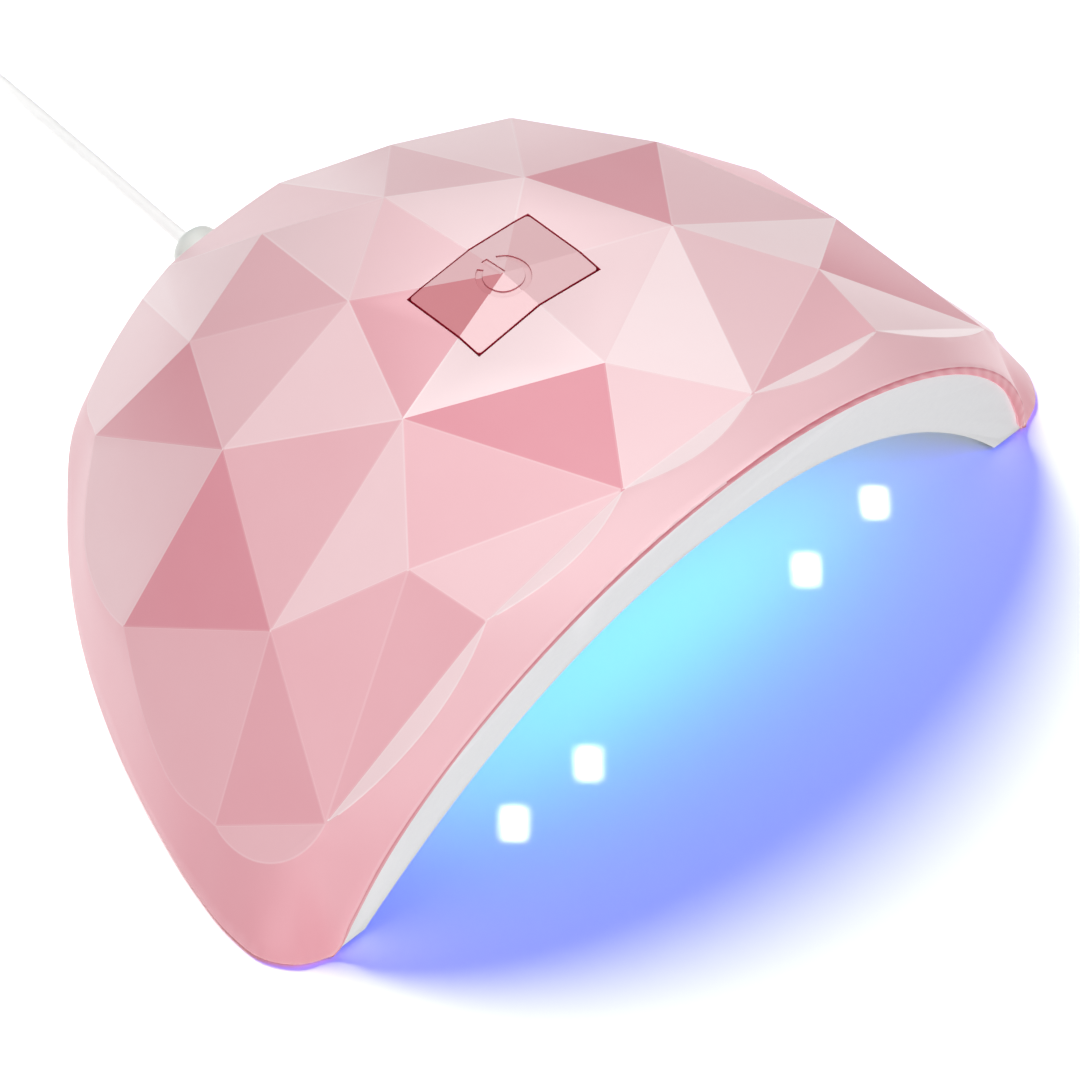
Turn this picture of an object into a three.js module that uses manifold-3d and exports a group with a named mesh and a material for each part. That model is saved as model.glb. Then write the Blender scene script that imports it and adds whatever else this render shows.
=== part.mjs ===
// UV LED nail lamp: a faceted arch-shaped housing that stands on four rubber feet, open at the front for a hand.
// Millimetres, +Z up, +X to the right and +Y to the rear. The origin is on the table, under the housing's centre.
import * as THREE from 'three';
import { mergeVertices } from 'three/addons/utils/BufferGeometryUtils.js';
import Module from 'manifold-3d';

const wasm = await Module();
wasm.setup();

// ---------- driving dimensions ----------
// Housing coordinates start under the push button, at the shell's bottom edge. SEAT puts them on the table.
const SEAT = new THREE.Vector3(0, -12, 1);
const PLAN_CENTRE = new THREE.Vector3(0, 12, 0);
const GAP = 0.3;

const SHELL_INSET = 0.975;
const LINER_INSET = 0.968;
// At the leg's tip the pink lip narrows to this share less of its width, and the white shell fills what it leaves.
const LIP_TAPER = 0.6;
const OPENING_REACH = 4;

const LIP_FOOT_Y = -44.6;
const LIP_LEAN = 0.1315;
const LINER_RECESS = 0.6;
const LINER_WALL = 1.8;

const CAVITY = { halfWidth: 71.5, height: 46.5, power: 2.2, straightTo: -15, taper: 73, front: -58, rear: 57 };

const BUTTON = { halfX: 13.1, halfY: 8.4, corner: 1, skirtZ: 58.2, flangeTop: 59, flangeOut: 1.4, stemRadius: 2.5 };
const STEM_BOTTOM = 57.3;
const SWITCH = { size: 6, bottom: 52.3, top: 55.8, holeRadius: 1.9, holeBottom: 53.5 };
const PLUNGER = { radius: 1.5, bottom: 54.5, top: STEM_BOTTOM - GAP };
const BOARD = { width: 44, depth: 34, y: 2, bottom: 50.4, top: 52 };
const POST = { x: 11, y: [-10, 14], radius: 2 };

const LED = { size: 5, proud: 0.6, lensRadius: 1.9, windowPlay: GAP, rows: [-32, 2], places: [18, 38, 56] };
const LED_BOARD = { from: 2.4, to: 3.4, nearX: 13, farX: 64, front: -37, rear: 7 };

const SCREW = { headRadius: 2.2, head: [0.1, 0.7], shankRadius: 1.1, top: 8, places: [[79.3, -17], [16, 65.5]] };
const BOSS = { radius: 2.8, bottom: 2.1, holeTop: 9, tops: [15, 25] };
const FOOT = { radius: 3.5, bottom: -1, top: 0.5, places: [[79.4, -31], [48, 46]] };

const GROMMET = { z: 4.9, headRadius: 4.6, neckRadius: 3.2, flangeRadius: 3.9, inner: 68.9, flangeEnd: 70.3, outer: 80.3 };
const CORD = { diameter: 2.4, sides: 8 };
const COIL = { x: -13.9, y: 142, innerRadius: 10.7, outerRadius: 18.1, outerTurn: 16.8, bottom: 0.55, top: 10.1, corner: 2 };
const TIE = { thickness: 0.6, underside: 0.25, width: 3 };
const PLUG = { x: -33, y: 157, z: 4, body: [26, 15, 7.6], shell: [11.8, 12, 4.5] };

// The rim band is ruled between an edge line and a wall line. Stations run from the middle of the front round the
// right leg to the middle of the rear: [edge point, wall point, outward bulge].
const STATIONS = [
  [[0, -52.6, 61.5], [0, -42.1, 61.6], 0],
  [[14.5, -52.3, 60.2], [14, -42.1, 60.5], 0],
  [[29, -51.8, 56.1], [29.5, -41.8, 57.7], 0],
  [[41.5, -51.1, 50], [42.5, -41.6, 52.2], 0],
  [[57.5, -49.6, 37.6], [59.5, -39.8, 40.3], 0],
  [[70.2, -47.4, 21.2], [73.4, -37.8, 24.3], 0],
  [[76.2, -45.9, 8.3], [75.6, -36.5, 21], 0],
  [[79.1, -44.2, 0], [76.3, -35, 20], 0],
  [[83.5, -42.2, 0], [77, -33.3, 20], 0],
  [[87.3, -37, 0], [77.6, -30.5, 20], 0],
  [[87.9, -30.1, 0], [77.8, -26.5, 20], 0],
  [[86.4, -19.6, 0], [77.5, -19.6, 20], 0],
  [[83, -6.8, 0], [77.6, -6.7, 20], 0.2],
  [[75.7, 13.5, 0], [71.8, 13.3, 20], 0.2],
  [[65.2, 33.7, 0], [62.2, 32, 20], 0.2],
  [[50.9, 52.9, 0], [46.8, 48.6, 20], 0],
  [[38.6, 65.5, 0], [34, 60.3, 20], 0],
  [[22, 73.6, 0], [19.9, 66.9, 20], 0],
  [[11, 75.9, 0], [10.2, 69, 20], 0],
  [[0, 76.5, 0], [0, 69.5, 20], 0],
];
const LEG_TIP = 7;
const REAR = STATIONS.length - 1;

// Corners of the flat facets. The first three lie on the centre line, the rest are given for the right side.
const RIDGE = { apex: [0, 0, 65], back: [0, 28.3, 59.6], front: [0, -23.2, 63.1] };
const CORNERS = {
  shoulder: [19.1, 15.6, 60.1], brow: [29.2, -8.2, 60.3], nape: [14.1, 42.5, 49.9], hip: [35.4, 36.3, 45.4],
  flank: [47.6, 14.2, 48.1], cheek: [62.3, -13.3, 40.3], temple: [44.7, -26.3, 52.6],
};
// Corners on the rim band: [station, share of the way from the edge line to the wall line].
const RIM = {
  lipMid: [1, 1], lipSide: [3, 1], lipLow: [5, 1], legTop: [11, 0.615], side: [13, 1.185], haunch: [15, 1],
};
// The rear corners differ a little from left to right.
const REAR_CORNER = { left: [17.72, 0.93], right: [17.88, 1.06] };
const REAR_STEP = 17.1;

const TRIANGLES = [
  ['apex', 'shoulder', 'back'], ['apex', 'brow', 'shoulder'], ['apex', 'front', 'brow'],
  ['shoulder', 'flank', 'hip'], ['shoulder', 'hip', 'nape'], ['shoulder', 'nape', 'back'],
  ['brow', 'flank', 'shoulder'], ['brow', 'cheek', 'flank'], ['brow', 'temple', 'cheek'],
  ['front', 'lipMid', 'brow'], ['brow', 'lipMid', 'temple'], ['lipMid', 'lipSide', 'temple'],
  ['temple', 'lipSide', 'lipLow'], ['cheek', 'temple', 'lipLow'], ['flank', 'side', 'cheek'],
  ['hip', 'haunch', 'flank'], ['cheek', 'legTop', 'lipLow'], ['back', 'nape', 'rear'],
];
// Facets that meet the band along an arc: the corners inside, then the arc's two stations and its steps.
// A facet with no inner corner is a sliver between a chord and its arc: it names the point that its plane passes.
const ARC_FACETS = [
  { inner: [], ends: ['lipMid', 'lipSide'], through: [2, 0.67], steps: 4 },
  { inner: [], ends: ['lipSide', 'lipLow'], through: [4, 0.6], steps: 4 },
  { inner: [], ends: ['lipLow', 'legTop'], through: [9.3, 0.7], steps: 12 },
  { inner: ['cheek'], ends: ['legTop', 'side'], steps: 5 },
  { inner: ['flank'], ends: ['side', 'haunch'], steps: 5 },
  { inner: ['hip'], ends: ['haunch', 'step'], steps: 4 },
  { inner: ['hip', 'nape'], ends: ['step', 'rear'], steps: 2 },
];

// ---------- curves and solids ----------
const vec = (p) => new THREE.Vector3(...p);

function cardinal(points, u) {
  const last = points.length - 1;
  const at = (k) => {
    if (k < 0) return points[-k].clone().multiply(new THREE.Vector3(-1, 1, 1));
    if (k > last) return points[2 * last - k].clone().multiply(new THREE.Vector3(-1, 1, 1));
    return points[k];
  };
  const i = Math.min(Math.floor(u), last - 1);
  const t = u - i;
  const [p0, p1, p2, p3] = [at(i - 1), at(i), at(i + 1), at(i + 2)];
  const [d0, d1, d2] = [p0.distanceTo(p1), p1.distanceTo(p2), p2.distanceTo(p3)];
  const slope = (a, b, c, da, db) => b.clone().sub(a).multiplyScalar(db / da)
    .add(c.clone().sub(b).multiplyScalar(da / db)).multiplyScalar(d1 / (da + db));
  const m1 = slope(p0, p1, p2, d0, d1);
  const m2 = slope(p1, p2, p3, d1, d2);
  return p1.clone().multiplyScalar(2 * t ** 3 - 3 * t ** 2 + 1)
    .addScaledVector(m1, t ** 3 - 2 * t ** 2 + t)
    .addScaledVector(p2, -2 * t ** 3 + 3 * t ** 2)
    .addScaledVector(m2, t ** 3 - t ** 2);
}

const EDGE = STATIONS.map((row) => vec(row[0]));
const WALL = STATIONS.map((row) => vec(row[1]));

function bulgeAt(u) {
  const i = Math.min(Math.floor(u), REAR - 1);
  const t = THREE.MathUtils.smoothstep(u - i, 0, 1);
  return STATIONS[i][2] * (1 - t) + STATIONS[i + 1][2] * t;
}

// A point of the rim band: u is the station, s runs from the edge line (0) to the wall line (1) and past it.
function bandPoint(u, s, side) {
  const edge = cardinal(EDGE, u);
  const wall = cardinal(WALL, u);
  const outward = edge.clone().sub(wall).setZ(0).multiplyScalar(bulgeAt(u) * s * (1 - s));
  const point = edge.multiplyScalar(1 - s).addScaledVector(wall, s).add(outward);
  return point.multiply(new THREE.Vector3(side, 1, 1));
}

// Where a facet's plane meets the band at a station, found by bisection.
function bandMeets(plane, u, side) {
  let low = 0;
  let high = 1.7;
  const below = plane.distanceToPoint(bandPoint(u, low, side)) < 0;
  for (let k = 0; k < 40; k += 1) {
    const middle = (low + high) / 2;
    if ((plane.distanceToPoint(bandPoint(u, middle, side)) < 0) === below) low = middle;
    else high = middle;
  }
  return low;
}

function sideCorners(side) {
  const flip = new THREE.Vector3(side, 1, 1);
  const corners = {};
  const stations = {};
  Object.entries(RIDGE).forEach(([name, p]) => { corners[name] = vec(p); });
  Object.entries(CORNERS).forEach(([name, p]) => { corners[name] = vec(p).multiply(flip); });
  const onRim = { ...RIM, rear: side < 0 ? REAR_CORNER.left : REAR_CORNER.right };
  Object.entries(onRim).forEach(([name, [u, s]]) => {
    corners[name] = bandPoint(u, s, side);
    stations[name] = u;
  });
  const rearPlane = new THREE.Plane().setFromCoplanarPoints(corners.nape, corners.hip, corners.rear);
  corners.step = bandPoint(REAR_STEP, bandMeets(rearPlane, REAR_STEP, side), side);
  stations.step = REAR_STEP;
  return { corners, stations };
}

// All flat facets of the outer shell and the columns of the band below them, from the front round to the rear.
function shellFaces() {
  const facets = [];
  const columns = {};
  const sides = { '-1': sideCorners(-1), 1: sideCorners(1) };
  [-1, 1].forEach((side) => {
    const { corners, stations } = sides[side];
    TRIANGLES.forEach((names) => facets.push(names.map((name) => corners[name])));
    const column = (u, top) => ({ u, top, side });
    const run = [];
    const addArc = (plane, from, to, steps) => {
      const arc = [];
      for (let k = 0; k <= steps; k += 1) {
        const u = from + (to - from) * k / steps;
        arc.push(column(u, bandPoint(u, bandMeets(plane, u, side), side)));
      }
      return arc;
    };
    const front = new THREE.Plane().setFromCoplanarPoints(
      sides[-1].corners.lipMid, sides[1].corners.lipMid, bandPoint(0, 0.66, 1));
    run.push(...addArc(front, 0, stations.lipMid, 2));
    ARC_FACETS.forEach(({ inner, ends, through, steps }) => {
      const [from, to] = ends.map((name) => corners[name]);
      const third = through ? bandPoint(through[0], through[1], side) : corners[inner[0]];
      const plane = new THREE.Plane().setFromCoplanarPoints(from, to, third);
      const arc = addArc(plane, stations[ends[0]], stations[ends[1]], steps);
      arc[0].top = from;
      arc[steps].top = to;
      facets.push([...arc.map((c) => c.top), ...inner.map((name) => corners[name]).reverse()]);
      run.push(...arc.slice(1));
    });
    columns[side] = run;
  });
  const [left, right] = [sides[-1].corners, sides[1].corners];
  facets.push([left.front, left.lipMid, right.lipMid]);
  const rearPlane = new THREE.Plane().setFromCoplanarPoints(left.back, left.rear, right.rear);
  [-1, 1].forEach((side) => {
    const { rear } = sides[side].stations;
    const half = (rear + REAR) / 2;
    [half, REAR].forEach((u) => {
      columns[side].push({ u, top: bandPoint(u, bandMeets(rearPlane, u, side), side), side });
    });
  });
  const frontArc = (side) => columns[side].slice(0, 3).map((c) => c.top);
  facets.push([...frontArc(-1).reverse(), ...frontArc(1).slice(1)]);
  const rearArc = (side) => columns[side].slice(-3).map((c) => c.top);
  facets.push([...rearArc(-1), ...rearArc(1).reverse().slice(1), left.back]);
  return { facets, columns };
}

function orientedTriangles(polygon, inside) {
  const normal = new THREE.Vector3();
  const middle = new THREE.Vector3();
  polygon.forEach((p, i) => {
    normal.add(p.clone().cross(polygon[(i + 1) % polygon.length]));
    middle.addScaledVector(p, 1 / polygon.length);
  });
  const points = normal.dot(middle.sub(inside)) < 0 ? [...polygon].reverse() : polygon;
  if (points !== polygon) normal.negate();
  const across = points[1].clone().sub(points[0]).normalize();
  const along = normal.normalize().clone().cross(across);
  const flat = points.map((p) => new THREE.Vector2(p.dot(across), p.dot(along)));
  return THREE.ShapeUtils.triangulateShape(flat, []).flatMap((face) => face.map((k) => points[k]));
}

function solidFrom(points) {
  const geometry = new THREE.BufferGeometry().setFromPoints(points);
  return toManifold(geometry);
}

// The closed dome inside the faceted skin. An inset below 1 shrinks it towards the plan centre for the hollow, and
// reach then pushes its rim out through the open front and bottom.
function domeSolid(inset, reach) {
  const { facets, columns } = shellFaces();
  const shrink = (p, by = inset) => p.clone().sub(PLAN_CENTRE).multiplyScalar(by).add(PLAN_CENTRE);
  const rimPoint = ({ u, side }) => {
    const tip = Math.max(0, 1 - Math.abs(u - LEG_TIP));
    const rimInset = inset < 1 ? inset + (1 - inset) * LIP_TAPER * tip : inset;
    const p = shrink(bandPoint(u, 0, side), rimInset);
    if (u <= LEG_TIP) p.y -= reach;
    if (u >= LEG_TIP) p.z -= reach;
    return p;
  };
  const inside = new THREE.Vector3(0, 12, 20);
  const soup = facets.flatMap((polygon) => orientedTriangles(polygon.map((p) => shrink(p)), inside));
  [-1, 1].forEach((side) => {
    const run = columns[side];
    for (let k = 1; k < run.length; k += 1) {
      const [top0, top1] = [shrink(run[k - 1].top), shrink(run[k].top)];
      const [rim0, rim1] = [rimPoint(run[k - 1]), rimPoint(run[k])];
      soup.push(...orientedTriangles([top0, rim0, rim1], inside));
      soup.push(...orientedTriangles([top0, rim1, top1], inside));
    }
  });
  const rimLoop = (from, to) => {
    const half = (side) => columns[side].filter((c) => c.u >= from && c.u <= to).map(rimPoint);
    return [...half(-1), ...half(1).reverse()];
  };
  const frontLoop = rimLoop(0, LEG_TIP);
  frontLoop.splice(frontLoop.length - 1, 1);
  const floorLoop = rimLoop(LEG_TIP, REAR);
  floorLoop.splice(floorLoop.length / 2, 1);
  soup.push(...orientedTriangles(frontLoop, inside), ...orientedTriangles(floorLoop, inside));
  return solidFrom(soup);
}

function toManifold(geometry) {
  const bare = geometry.clone();
  bare.deleteAttribute('normal');
  bare.deleteAttribute('uv');
  const merged = mergeVertices(bare, 1e-3);
  const vertProperties = new Float32Array(merged.attributes.position.array);
  const triVerts = new Uint32Array(merged.index.array);
  return new wasm.Manifold(new wasm.Mesh({ numProp: 3, vertProperties, triVerts }));
}

function toGeometry(solid) {
  const mesh = solid.getMesh();
  const geometry = new THREE.BufferGeometry();
  geometry.setAttribute('position', new THREE.BufferAttribute(new Float32Array(mesh.vertProperties), 3));
  geometry.setIndex(new THREE.BufferAttribute(new Uint32Array(mesh.triVerts), 1));
  geometry.computeVertexNormals();
  return geometry;
}

function box(from, to) {
  const size = to.map((v, i) => v - from[i]);
  return new THREE.BoxGeometry(...size).translate(...from.map((v, i) => v + size[i] / 2));
}

function cylinder(radius, bottom, top, x = 0, y = 0, sides = 24) {
  return new THREE.CylinderGeometry(radius, radius, top - bottom, sides)
    .rotateX(Math.PI / 2).translate(x, y, (top + bottom) / 2);
}

function roundedPlate(halfX, halfY, corner, bottom, top) {
  const shape = new THREE.Shape();
  const [x, y] = [halfX - corner, halfY - corner];
  shape.absarc(x, y, corner, 0, Math.PI / 2);
  shape.absarc(-x, y, corner, Math.PI / 2, Math.PI);
  shape.absarc(-x, -y, corner, Math.PI, 1.5 * Math.PI);
  shape.absarc(x, -y, corner, 1.5 * Math.PI, 2 * Math.PI);
  return new THREE.ExtrudeGeometry(shape, { depth: top - bottom, bevelEnabled: false, curveSegments: 3 })
    .translate(0, 0, bottom);
}

function tube(points, radius, sides, steps) {
  const section = new THREE.Shape();
  for (let k = 0; k < sides; k += 1) {
    const angle = 2 * Math.PI * k / sides;
    const [x, y] = [radius * Math.cos(angle), radius * Math.sin(angle)];
    if (k === 0) section.moveTo(x, y);
    else section.lineTo(x, y);
  }
  const path = new THREE.CatmullRomCurve3(points.map(vec), false, 'centripetal');
  return new THREE.ExtrudeGeometry(section, { steps, extrudePath: path, bevelEnabled: false });
}

// The hand cavity grown by t: an arch section, straight behind the front opening, that closes down to the rear.
function cavityShare(y) {
  const back = Math.max(0, (y - CAVITY.straightTo) / CAVITY.taper);
  return Math.sqrt(1 - back ** 2);
}

function archHeight(x, share, t = 0) {
  const halfWidth = CAVITY.halfWidth * share + 1.22 * t;
  return (CAVITY.height * share + t) * (1 - (Math.abs(x) / halfWidth) ** CAVITY.power);
}

function cavitySolid(t, floor) {
  const archSteps = 28;
  const rearSteps = 8;
  const sections = [CAVITY.front, CAVITY.straightTo];
  for (let k = 1; k <= rearSteps; k += 1) {
    sections.push(CAVITY.straightTo + (CAVITY.rear - CAVITY.straightTo) * Math.sin(k / rearSteps * Math.PI / 2));
  }
  const rings = sections.map((y) => {
    const share = cavityShare(y);
    const halfWidth = CAVITY.halfWidth * share + 1.22 * t;
    const ring = [];
    for (let k = 0; k <= archSteps; k += 1) {
      const x = -halfWidth * Math.cos(Math.PI * k / archSteps);
      ring.push(new THREE.Vector3(x, y > 0 ? y + t * (y / CAVITY.rear) : y, Math.max(0, archHeight(x, share, t))));
    }
    const ends = [ring[archSteps], ring[0]].map((p) => new THREE.Vector3(p.x, p.y, floor));
    return [...ring, ...ends];
  });
  const soup = [];
  const count = rings[0].length;
  for (let r = 1; r < rings.length; r += 1) {
    for (let k = 0; k < count; k += 1) {
      const next = (k + 1) % count;
      const [a, b] = [rings[r - 1], rings[r]];
      soup.push(a[k], a[next], b[next], a[k], b[next], b[k]);
    }
  }
  const capInside = new THREE.Vector3(0, 0, 10);
  soup.push(...orientedTriangles(rings[0], capInside), ...orientedTriangles(rings[rings.length - 1], capInside));
  return solidFrom(soup);
}

// A shape given in a lamp's own frame, put on the cavity wall with its +Z pointing out of the hand space.
function onCavityWall(geometry, x, y) {
  const share = cavityShare(y);
  const rate = CAVITY.height * CAVITY.power * (Math.abs(x) / (CAVITY.halfWidth * share)) ** (CAVITY.power - 1)
    / CAVITY.halfWidth;
  const lean = Math.atan(rate) * Math.sign(x);
  return geometry.rotateY(lean).translate(x, y, archHeight(x, share));
}

function frontSlab(recess, thickness) {
  const size = 200;
  return new THREE.BoxGeometry(size, thickness, size).translate(0, thickness / 2, 0)
    .rotateX(Math.atan(LIP_LEAN)).translate(0, LIP_FOOT_Y + recess, 0);
}

const bothSides = (places) => places.flatMap(([x, y]) => [[-x, y], [x, y]]);

// ---------- materials ----------
const paint = (color, roughness, metalness = 0) => new THREE.MeshStandardMaterial({ color, roughness, metalness });
const PINK = () => paint(0xe6b9c0, 0.35);
const PINK_CLEAR = () => paint(0xe09aa4, 0.25);
const WHITE = () => paint(0xe1e1e3, 0.4);
const RUBBER = () => paint(0xe8e8e8, 0.8);
const STEEL = () => paint(0xb8bcc0, 0.3, 1);
const GREEN = () => paint(0x2f7a52, 0.5);
const BLACK = () => paint(0x202124, 0.5);
const LAMP = () => paint(0xf2f5ff, 0.2);
const CORD_WHITE = () => paint(0xf2f2f0, 0.45);

const lamp = new THREE.Group();
const housing = new THREE.Group();
housing.position.copy(SEAT);
lamp.add(housing);

function add(name, geometry, material, group = housing) {
  const mesh = new THREE.Mesh(geometry, material);
  mesh.name = name;
  group.add(mesh);
}

// ---------- top shell ----------
const outerDome = domeSolid(1, 0);
const wide = 100;

function screwBosses() {
  return SCREW.places.flatMap((place, i) => bothSides([place])
    .map(([x, y]) => toManifold(cylinder(BOSS.radius, BOSS.bottom, BOSS.tops[i], x, y, 16))));
}

function topShell() {
  const hollow = domeSolid(SHELL_INSET, OPENING_REACH);
  let shell = outerDome.subtract(hollow);
  const bossLimit = domeSolid(0.99, 0);
  screwBosses().forEach((boss) => { shell = shell.add(boss.intersect(bossLimit)); });
  bothSides(SCREW.places).forEach(([x, y]) => {
    shell = shell.subtract(toManifold(cylinder(SCREW.shankRadius + GAP, 0, BOSS.holeTop, x, y, 12)));
  });
  shell = shell.subtract(toManifold(box([-BUTTON.halfX, -BUTTON.halfY, 50], [BUTTON.halfX, BUTTON.halfY, 70])));
  const cordHole = cylinder(GROMMET.neckRadius + GAP, 60, 90).rotateX(-Math.PI / 2).translate(0, 0, GROMMET.z);
  return shell.subtract(toManifold(cordHole));
}

add('top_shell', toGeometry(topShell()), PINK());

// ---------- power button and its switch ----------
function powerButton() {
  const play = 0.35;
  const cap = toManifold(roundedPlate(
    BUTTON.halfX - play, BUTTON.halfY - play, BUTTON.corner, BUTTON.skirtZ, 70)).intersect(outerDome);
  const flange = roundedPlate(
    BUTTON.halfX + BUTTON.flangeOut, BUTTON.halfY + BUTTON.flangeOut, BUTTON.corner, BUTTON.skirtZ, BUTTON.flangeTop);
  const stem = cylinder(BUTTON.stemRadius, STEM_BOTTOM, BUTTON.skirtZ + GAP);
  return cap.add(toManifold(flange)).add(toManifold(stem));
}

add('power_button', toGeometry(powerButton()), PINK_CLEAR());

function switchBody() {
  const half = SWITCH.size / 2;
  const body = toManifold(box([-half, -half, SWITCH.bottom], [half, half, SWITCH.top]));
  return body.subtract(toManifold(cylinder(SWITCH.holeRadius, SWITCH.holeBottom, SWITCH.top + 1)));
}

add('switch_body', toGeometry(switchBody()), BLACK());
add('switch_plunger', cylinder(PLUNGER.radius, PLUNGER.bottom, PLUNGER.top), paint(0xd8c8a0, 0.4));

// ---------- inner shell with the hand cavity ----------
function innerShell() {
  const limit = domeSolid(LINER_INSET, OPENING_REACH);
  const aboveTable = toManifold(box([-wide, -wide, 0], [wide, wide, wide]));
  const front = toManifold(frontSlab(LINER_RECESS, 2 * wide)).intersect(aboveTable);
  const flange = toManifold(box([-wide, -wide, 0], [wide, wide, LINER_WALL]));
  const face = toManifold(frontSlab(LINER_RECESS, LINER_WALL));
  let shell = cavitySolid(LINER_WALL, -2).add(flange).add(face).intersect(limit).intersect(front);
  bothSides(POST.y.map((y) => [POST.x, y])).forEach(([x, y]) => {
    shell = shell.add(toManifold(cylinder(POST.radius, 40, BOARD.bottom - GAP, x, y, 12)));
  });
  shell = shell.subtract(cavitySolid(0, -3));
  lampPlaces().forEach(([x, y]) => {
    const half = LED.size / 2 + LED.windowPlay;
    shell = shell.subtract(toManifold(onCavityWall(box([-half, -half, -3], [half, half, 2.3]), x, y)));
  });
  bothSides(SCREW.places).forEach(([x, y]) => {
    shell = shell.subtract(toManifold(cylinder(SCREW.headRadius + GAP, -1, SCREW.head[1] + GAP, x, y, 16)));
    shell = shell.subtract(toManifold(cylinder(SCREW.shankRadius + GAP, -1, 3, x, y, 12)));
  });
  bothSides(FOOT.places).forEach(([x, y]) => {
    shell = shell.subtract(toManifold(cylinder(FOOT.radius + GAP, -1, FOOT.top + GAP, x, y)));
  });
  const cordNotch = GROMMET.flangeRadius + 1;
  return shell.subtract(toManifold(box([-cordNotch, GROMMET.inner - 1, -1], [cordNotch, 90, 12])));
}

function lampPlaces() {
  return bothSides(LED.rows.flatMap((y) => LED.places.map((x) => [x, y])));
}

add('inner_shell', toGeometry(innerShell()), WHITE());

// ---------- lamps and their boards ----------
function ledBoard(side) {
  const skin = cavitySolid(LED_BOARD.to, -1).subtract(cavitySolid(LED_BOARD.from, -2));
  const near = side * LED_BOARD.nearX;
  const far = side * LED_BOARD.farX;
  const part = box([Math.min(near, far), LED_BOARD.front, 3], [Math.max(near, far), LED_BOARD.rear, wide]);
  return skin.intersect(toManifold(part));
}

add('led_board_left', toGeometry(ledBoard(-1)), GREEN());
add('led_board_right', toGeometry(ledBoard(1)), GREEN());

function uvLed(x, y) {
  const half = LED.size / 2;
  const body = toManifold(box([-half, -half, -LED.proud], [half, half, LED_BOARD.from - 0.8]));
  const lens = new THREE.SphereGeometry(LED.lensRadius, 10, 6).translate(0, 0, -LED.proud);
  return onCavityWall(toGeometry(body.add(toManifold(lens))), x, y);
}

lampPlaces().forEach(([x, y], i) => {
  add(`uv_led_${String(i + 1).padStart(2, '0')}`, uvLed(x, y), LAMP());
});

// ---------- control board and what it carries ----------
const onBoard = BOARD.top + GAP;
add('control_board', box([-BOARD.width / 2, BOARD.y - BOARD.depth / 2, BOARD.bottom],
  [BOARD.width / 2, BOARD.y + BOARD.depth / 2, BOARD.top]), GREEN());
add('timer_chip', box([8, -10, onBoard], [16, -4, onBoard + 1.6]), BLACK());
add('driver_inductor', cylinder(3.4, onBoard, onBoard + 3.6, -15, 12), BLACK());
add('capacitor', cylinder(2.5, onBoard, onBoard + 5, 15, 13), paint(0x2a3c66, 0.4));
add('cord_socket', box([-4, 12.5, onBoard], [4, 18, onBoard + 4.2]), paint(0xf0ede4, 0.5));

const LEAD_RADIUS = 0.7;
add('inner_cord_lead', tube([[0, 18.4, 54.5], [0, 24, 54], [0, 36, 46.5], [0, 48, 34], [0, 58, 23], [0, 64, 12],
  [0, 66.4, 5.5], [0, 68.5, 4.5]], LEAD_RADIUS, 8, 24), CORD_WHITE());
['left', 'right'].forEach((name, i) => {
  const side = 2 * i - 1;
  add(`lamp_lead_${name}`, tube([[22.4, 4, 51.2], [25, 4, 51], [28, 4, 48], [29, 4, 44.8]]
    .map(([x, y, z]) => [side * x, y, z]), LEAD_RADIUS, 8, 8), paint(0xb03a3a, 0.5));
});

// ---------- screws and feet ----------
function screw(x, y) {
  const { head, headRadius, shankRadius, top } = SCREW;
  const profile = [[0, head[0]], [headRadius, head[0]], [headRadius, head[1]], [shankRadius, head[1]],
    [shankRadius, top - 1], [0, top]].map(([r, z]) => new THREE.Vector2(r, z));
  return new THREE.LatheGeometry(profile, 16).rotateX(Math.PI / 2).translate(x, y, 0);
}

const corners = ['front_left', 'front_right', 'rear_left', 'rear_right'];
bothSides(SCREW.places).forEach(([x, y], i) => add(`screw_${corners[i]}`, screw(x, y), STEEL()));
bothSides(FOOT.places).forEach(([x, y], i) => {
  add(`foot_${corners[i]}`, cylinder(FOOT.radius, FOOT.bottom, FOOT.top, x, y), RUBBER());
});

// ---------- cord ----------
// The bush's head follows the slanted rear wall, and its neck and inner flange hold it in the hole.
function cordGrommet() {
  const { headRadius, neckRadius, flangeRadius, inner, flangeEnd, outer, z } = GROMMET;
  const dome = new THREE.Shape();
  dome.moveTo(0, 72);
  dome.lineTo(headRadius, 72);
  dome.lineTo(headRadius, outer - 2.2);
  dome.quadraticCurveTo(headRadius, outer - 0.5, 2, outer);
  dome.lineTo(0, outer);
  const turned = (points) => toManifold(new THREE.LatheGeometry(points, 24).translate(0, 0, z));
  const head = turned(dome.getPoints(6));
  const neck = turned([[0, inner], [flangeRadius, inner], [flangeRadius, flangeEnd], [neckRadius, flangeEnd],
    [neckRadius, outer - 3], [0, outer - 3]].map(([r, y]) => new THREE.Vector2(r, y)));
  return head.subtract(domeSolid(1.006, 0)).add(neck);
}

add('cord_grommet', toGeometry(cordGrommet()), paint(0xdfe6dd, 0.35));

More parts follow.
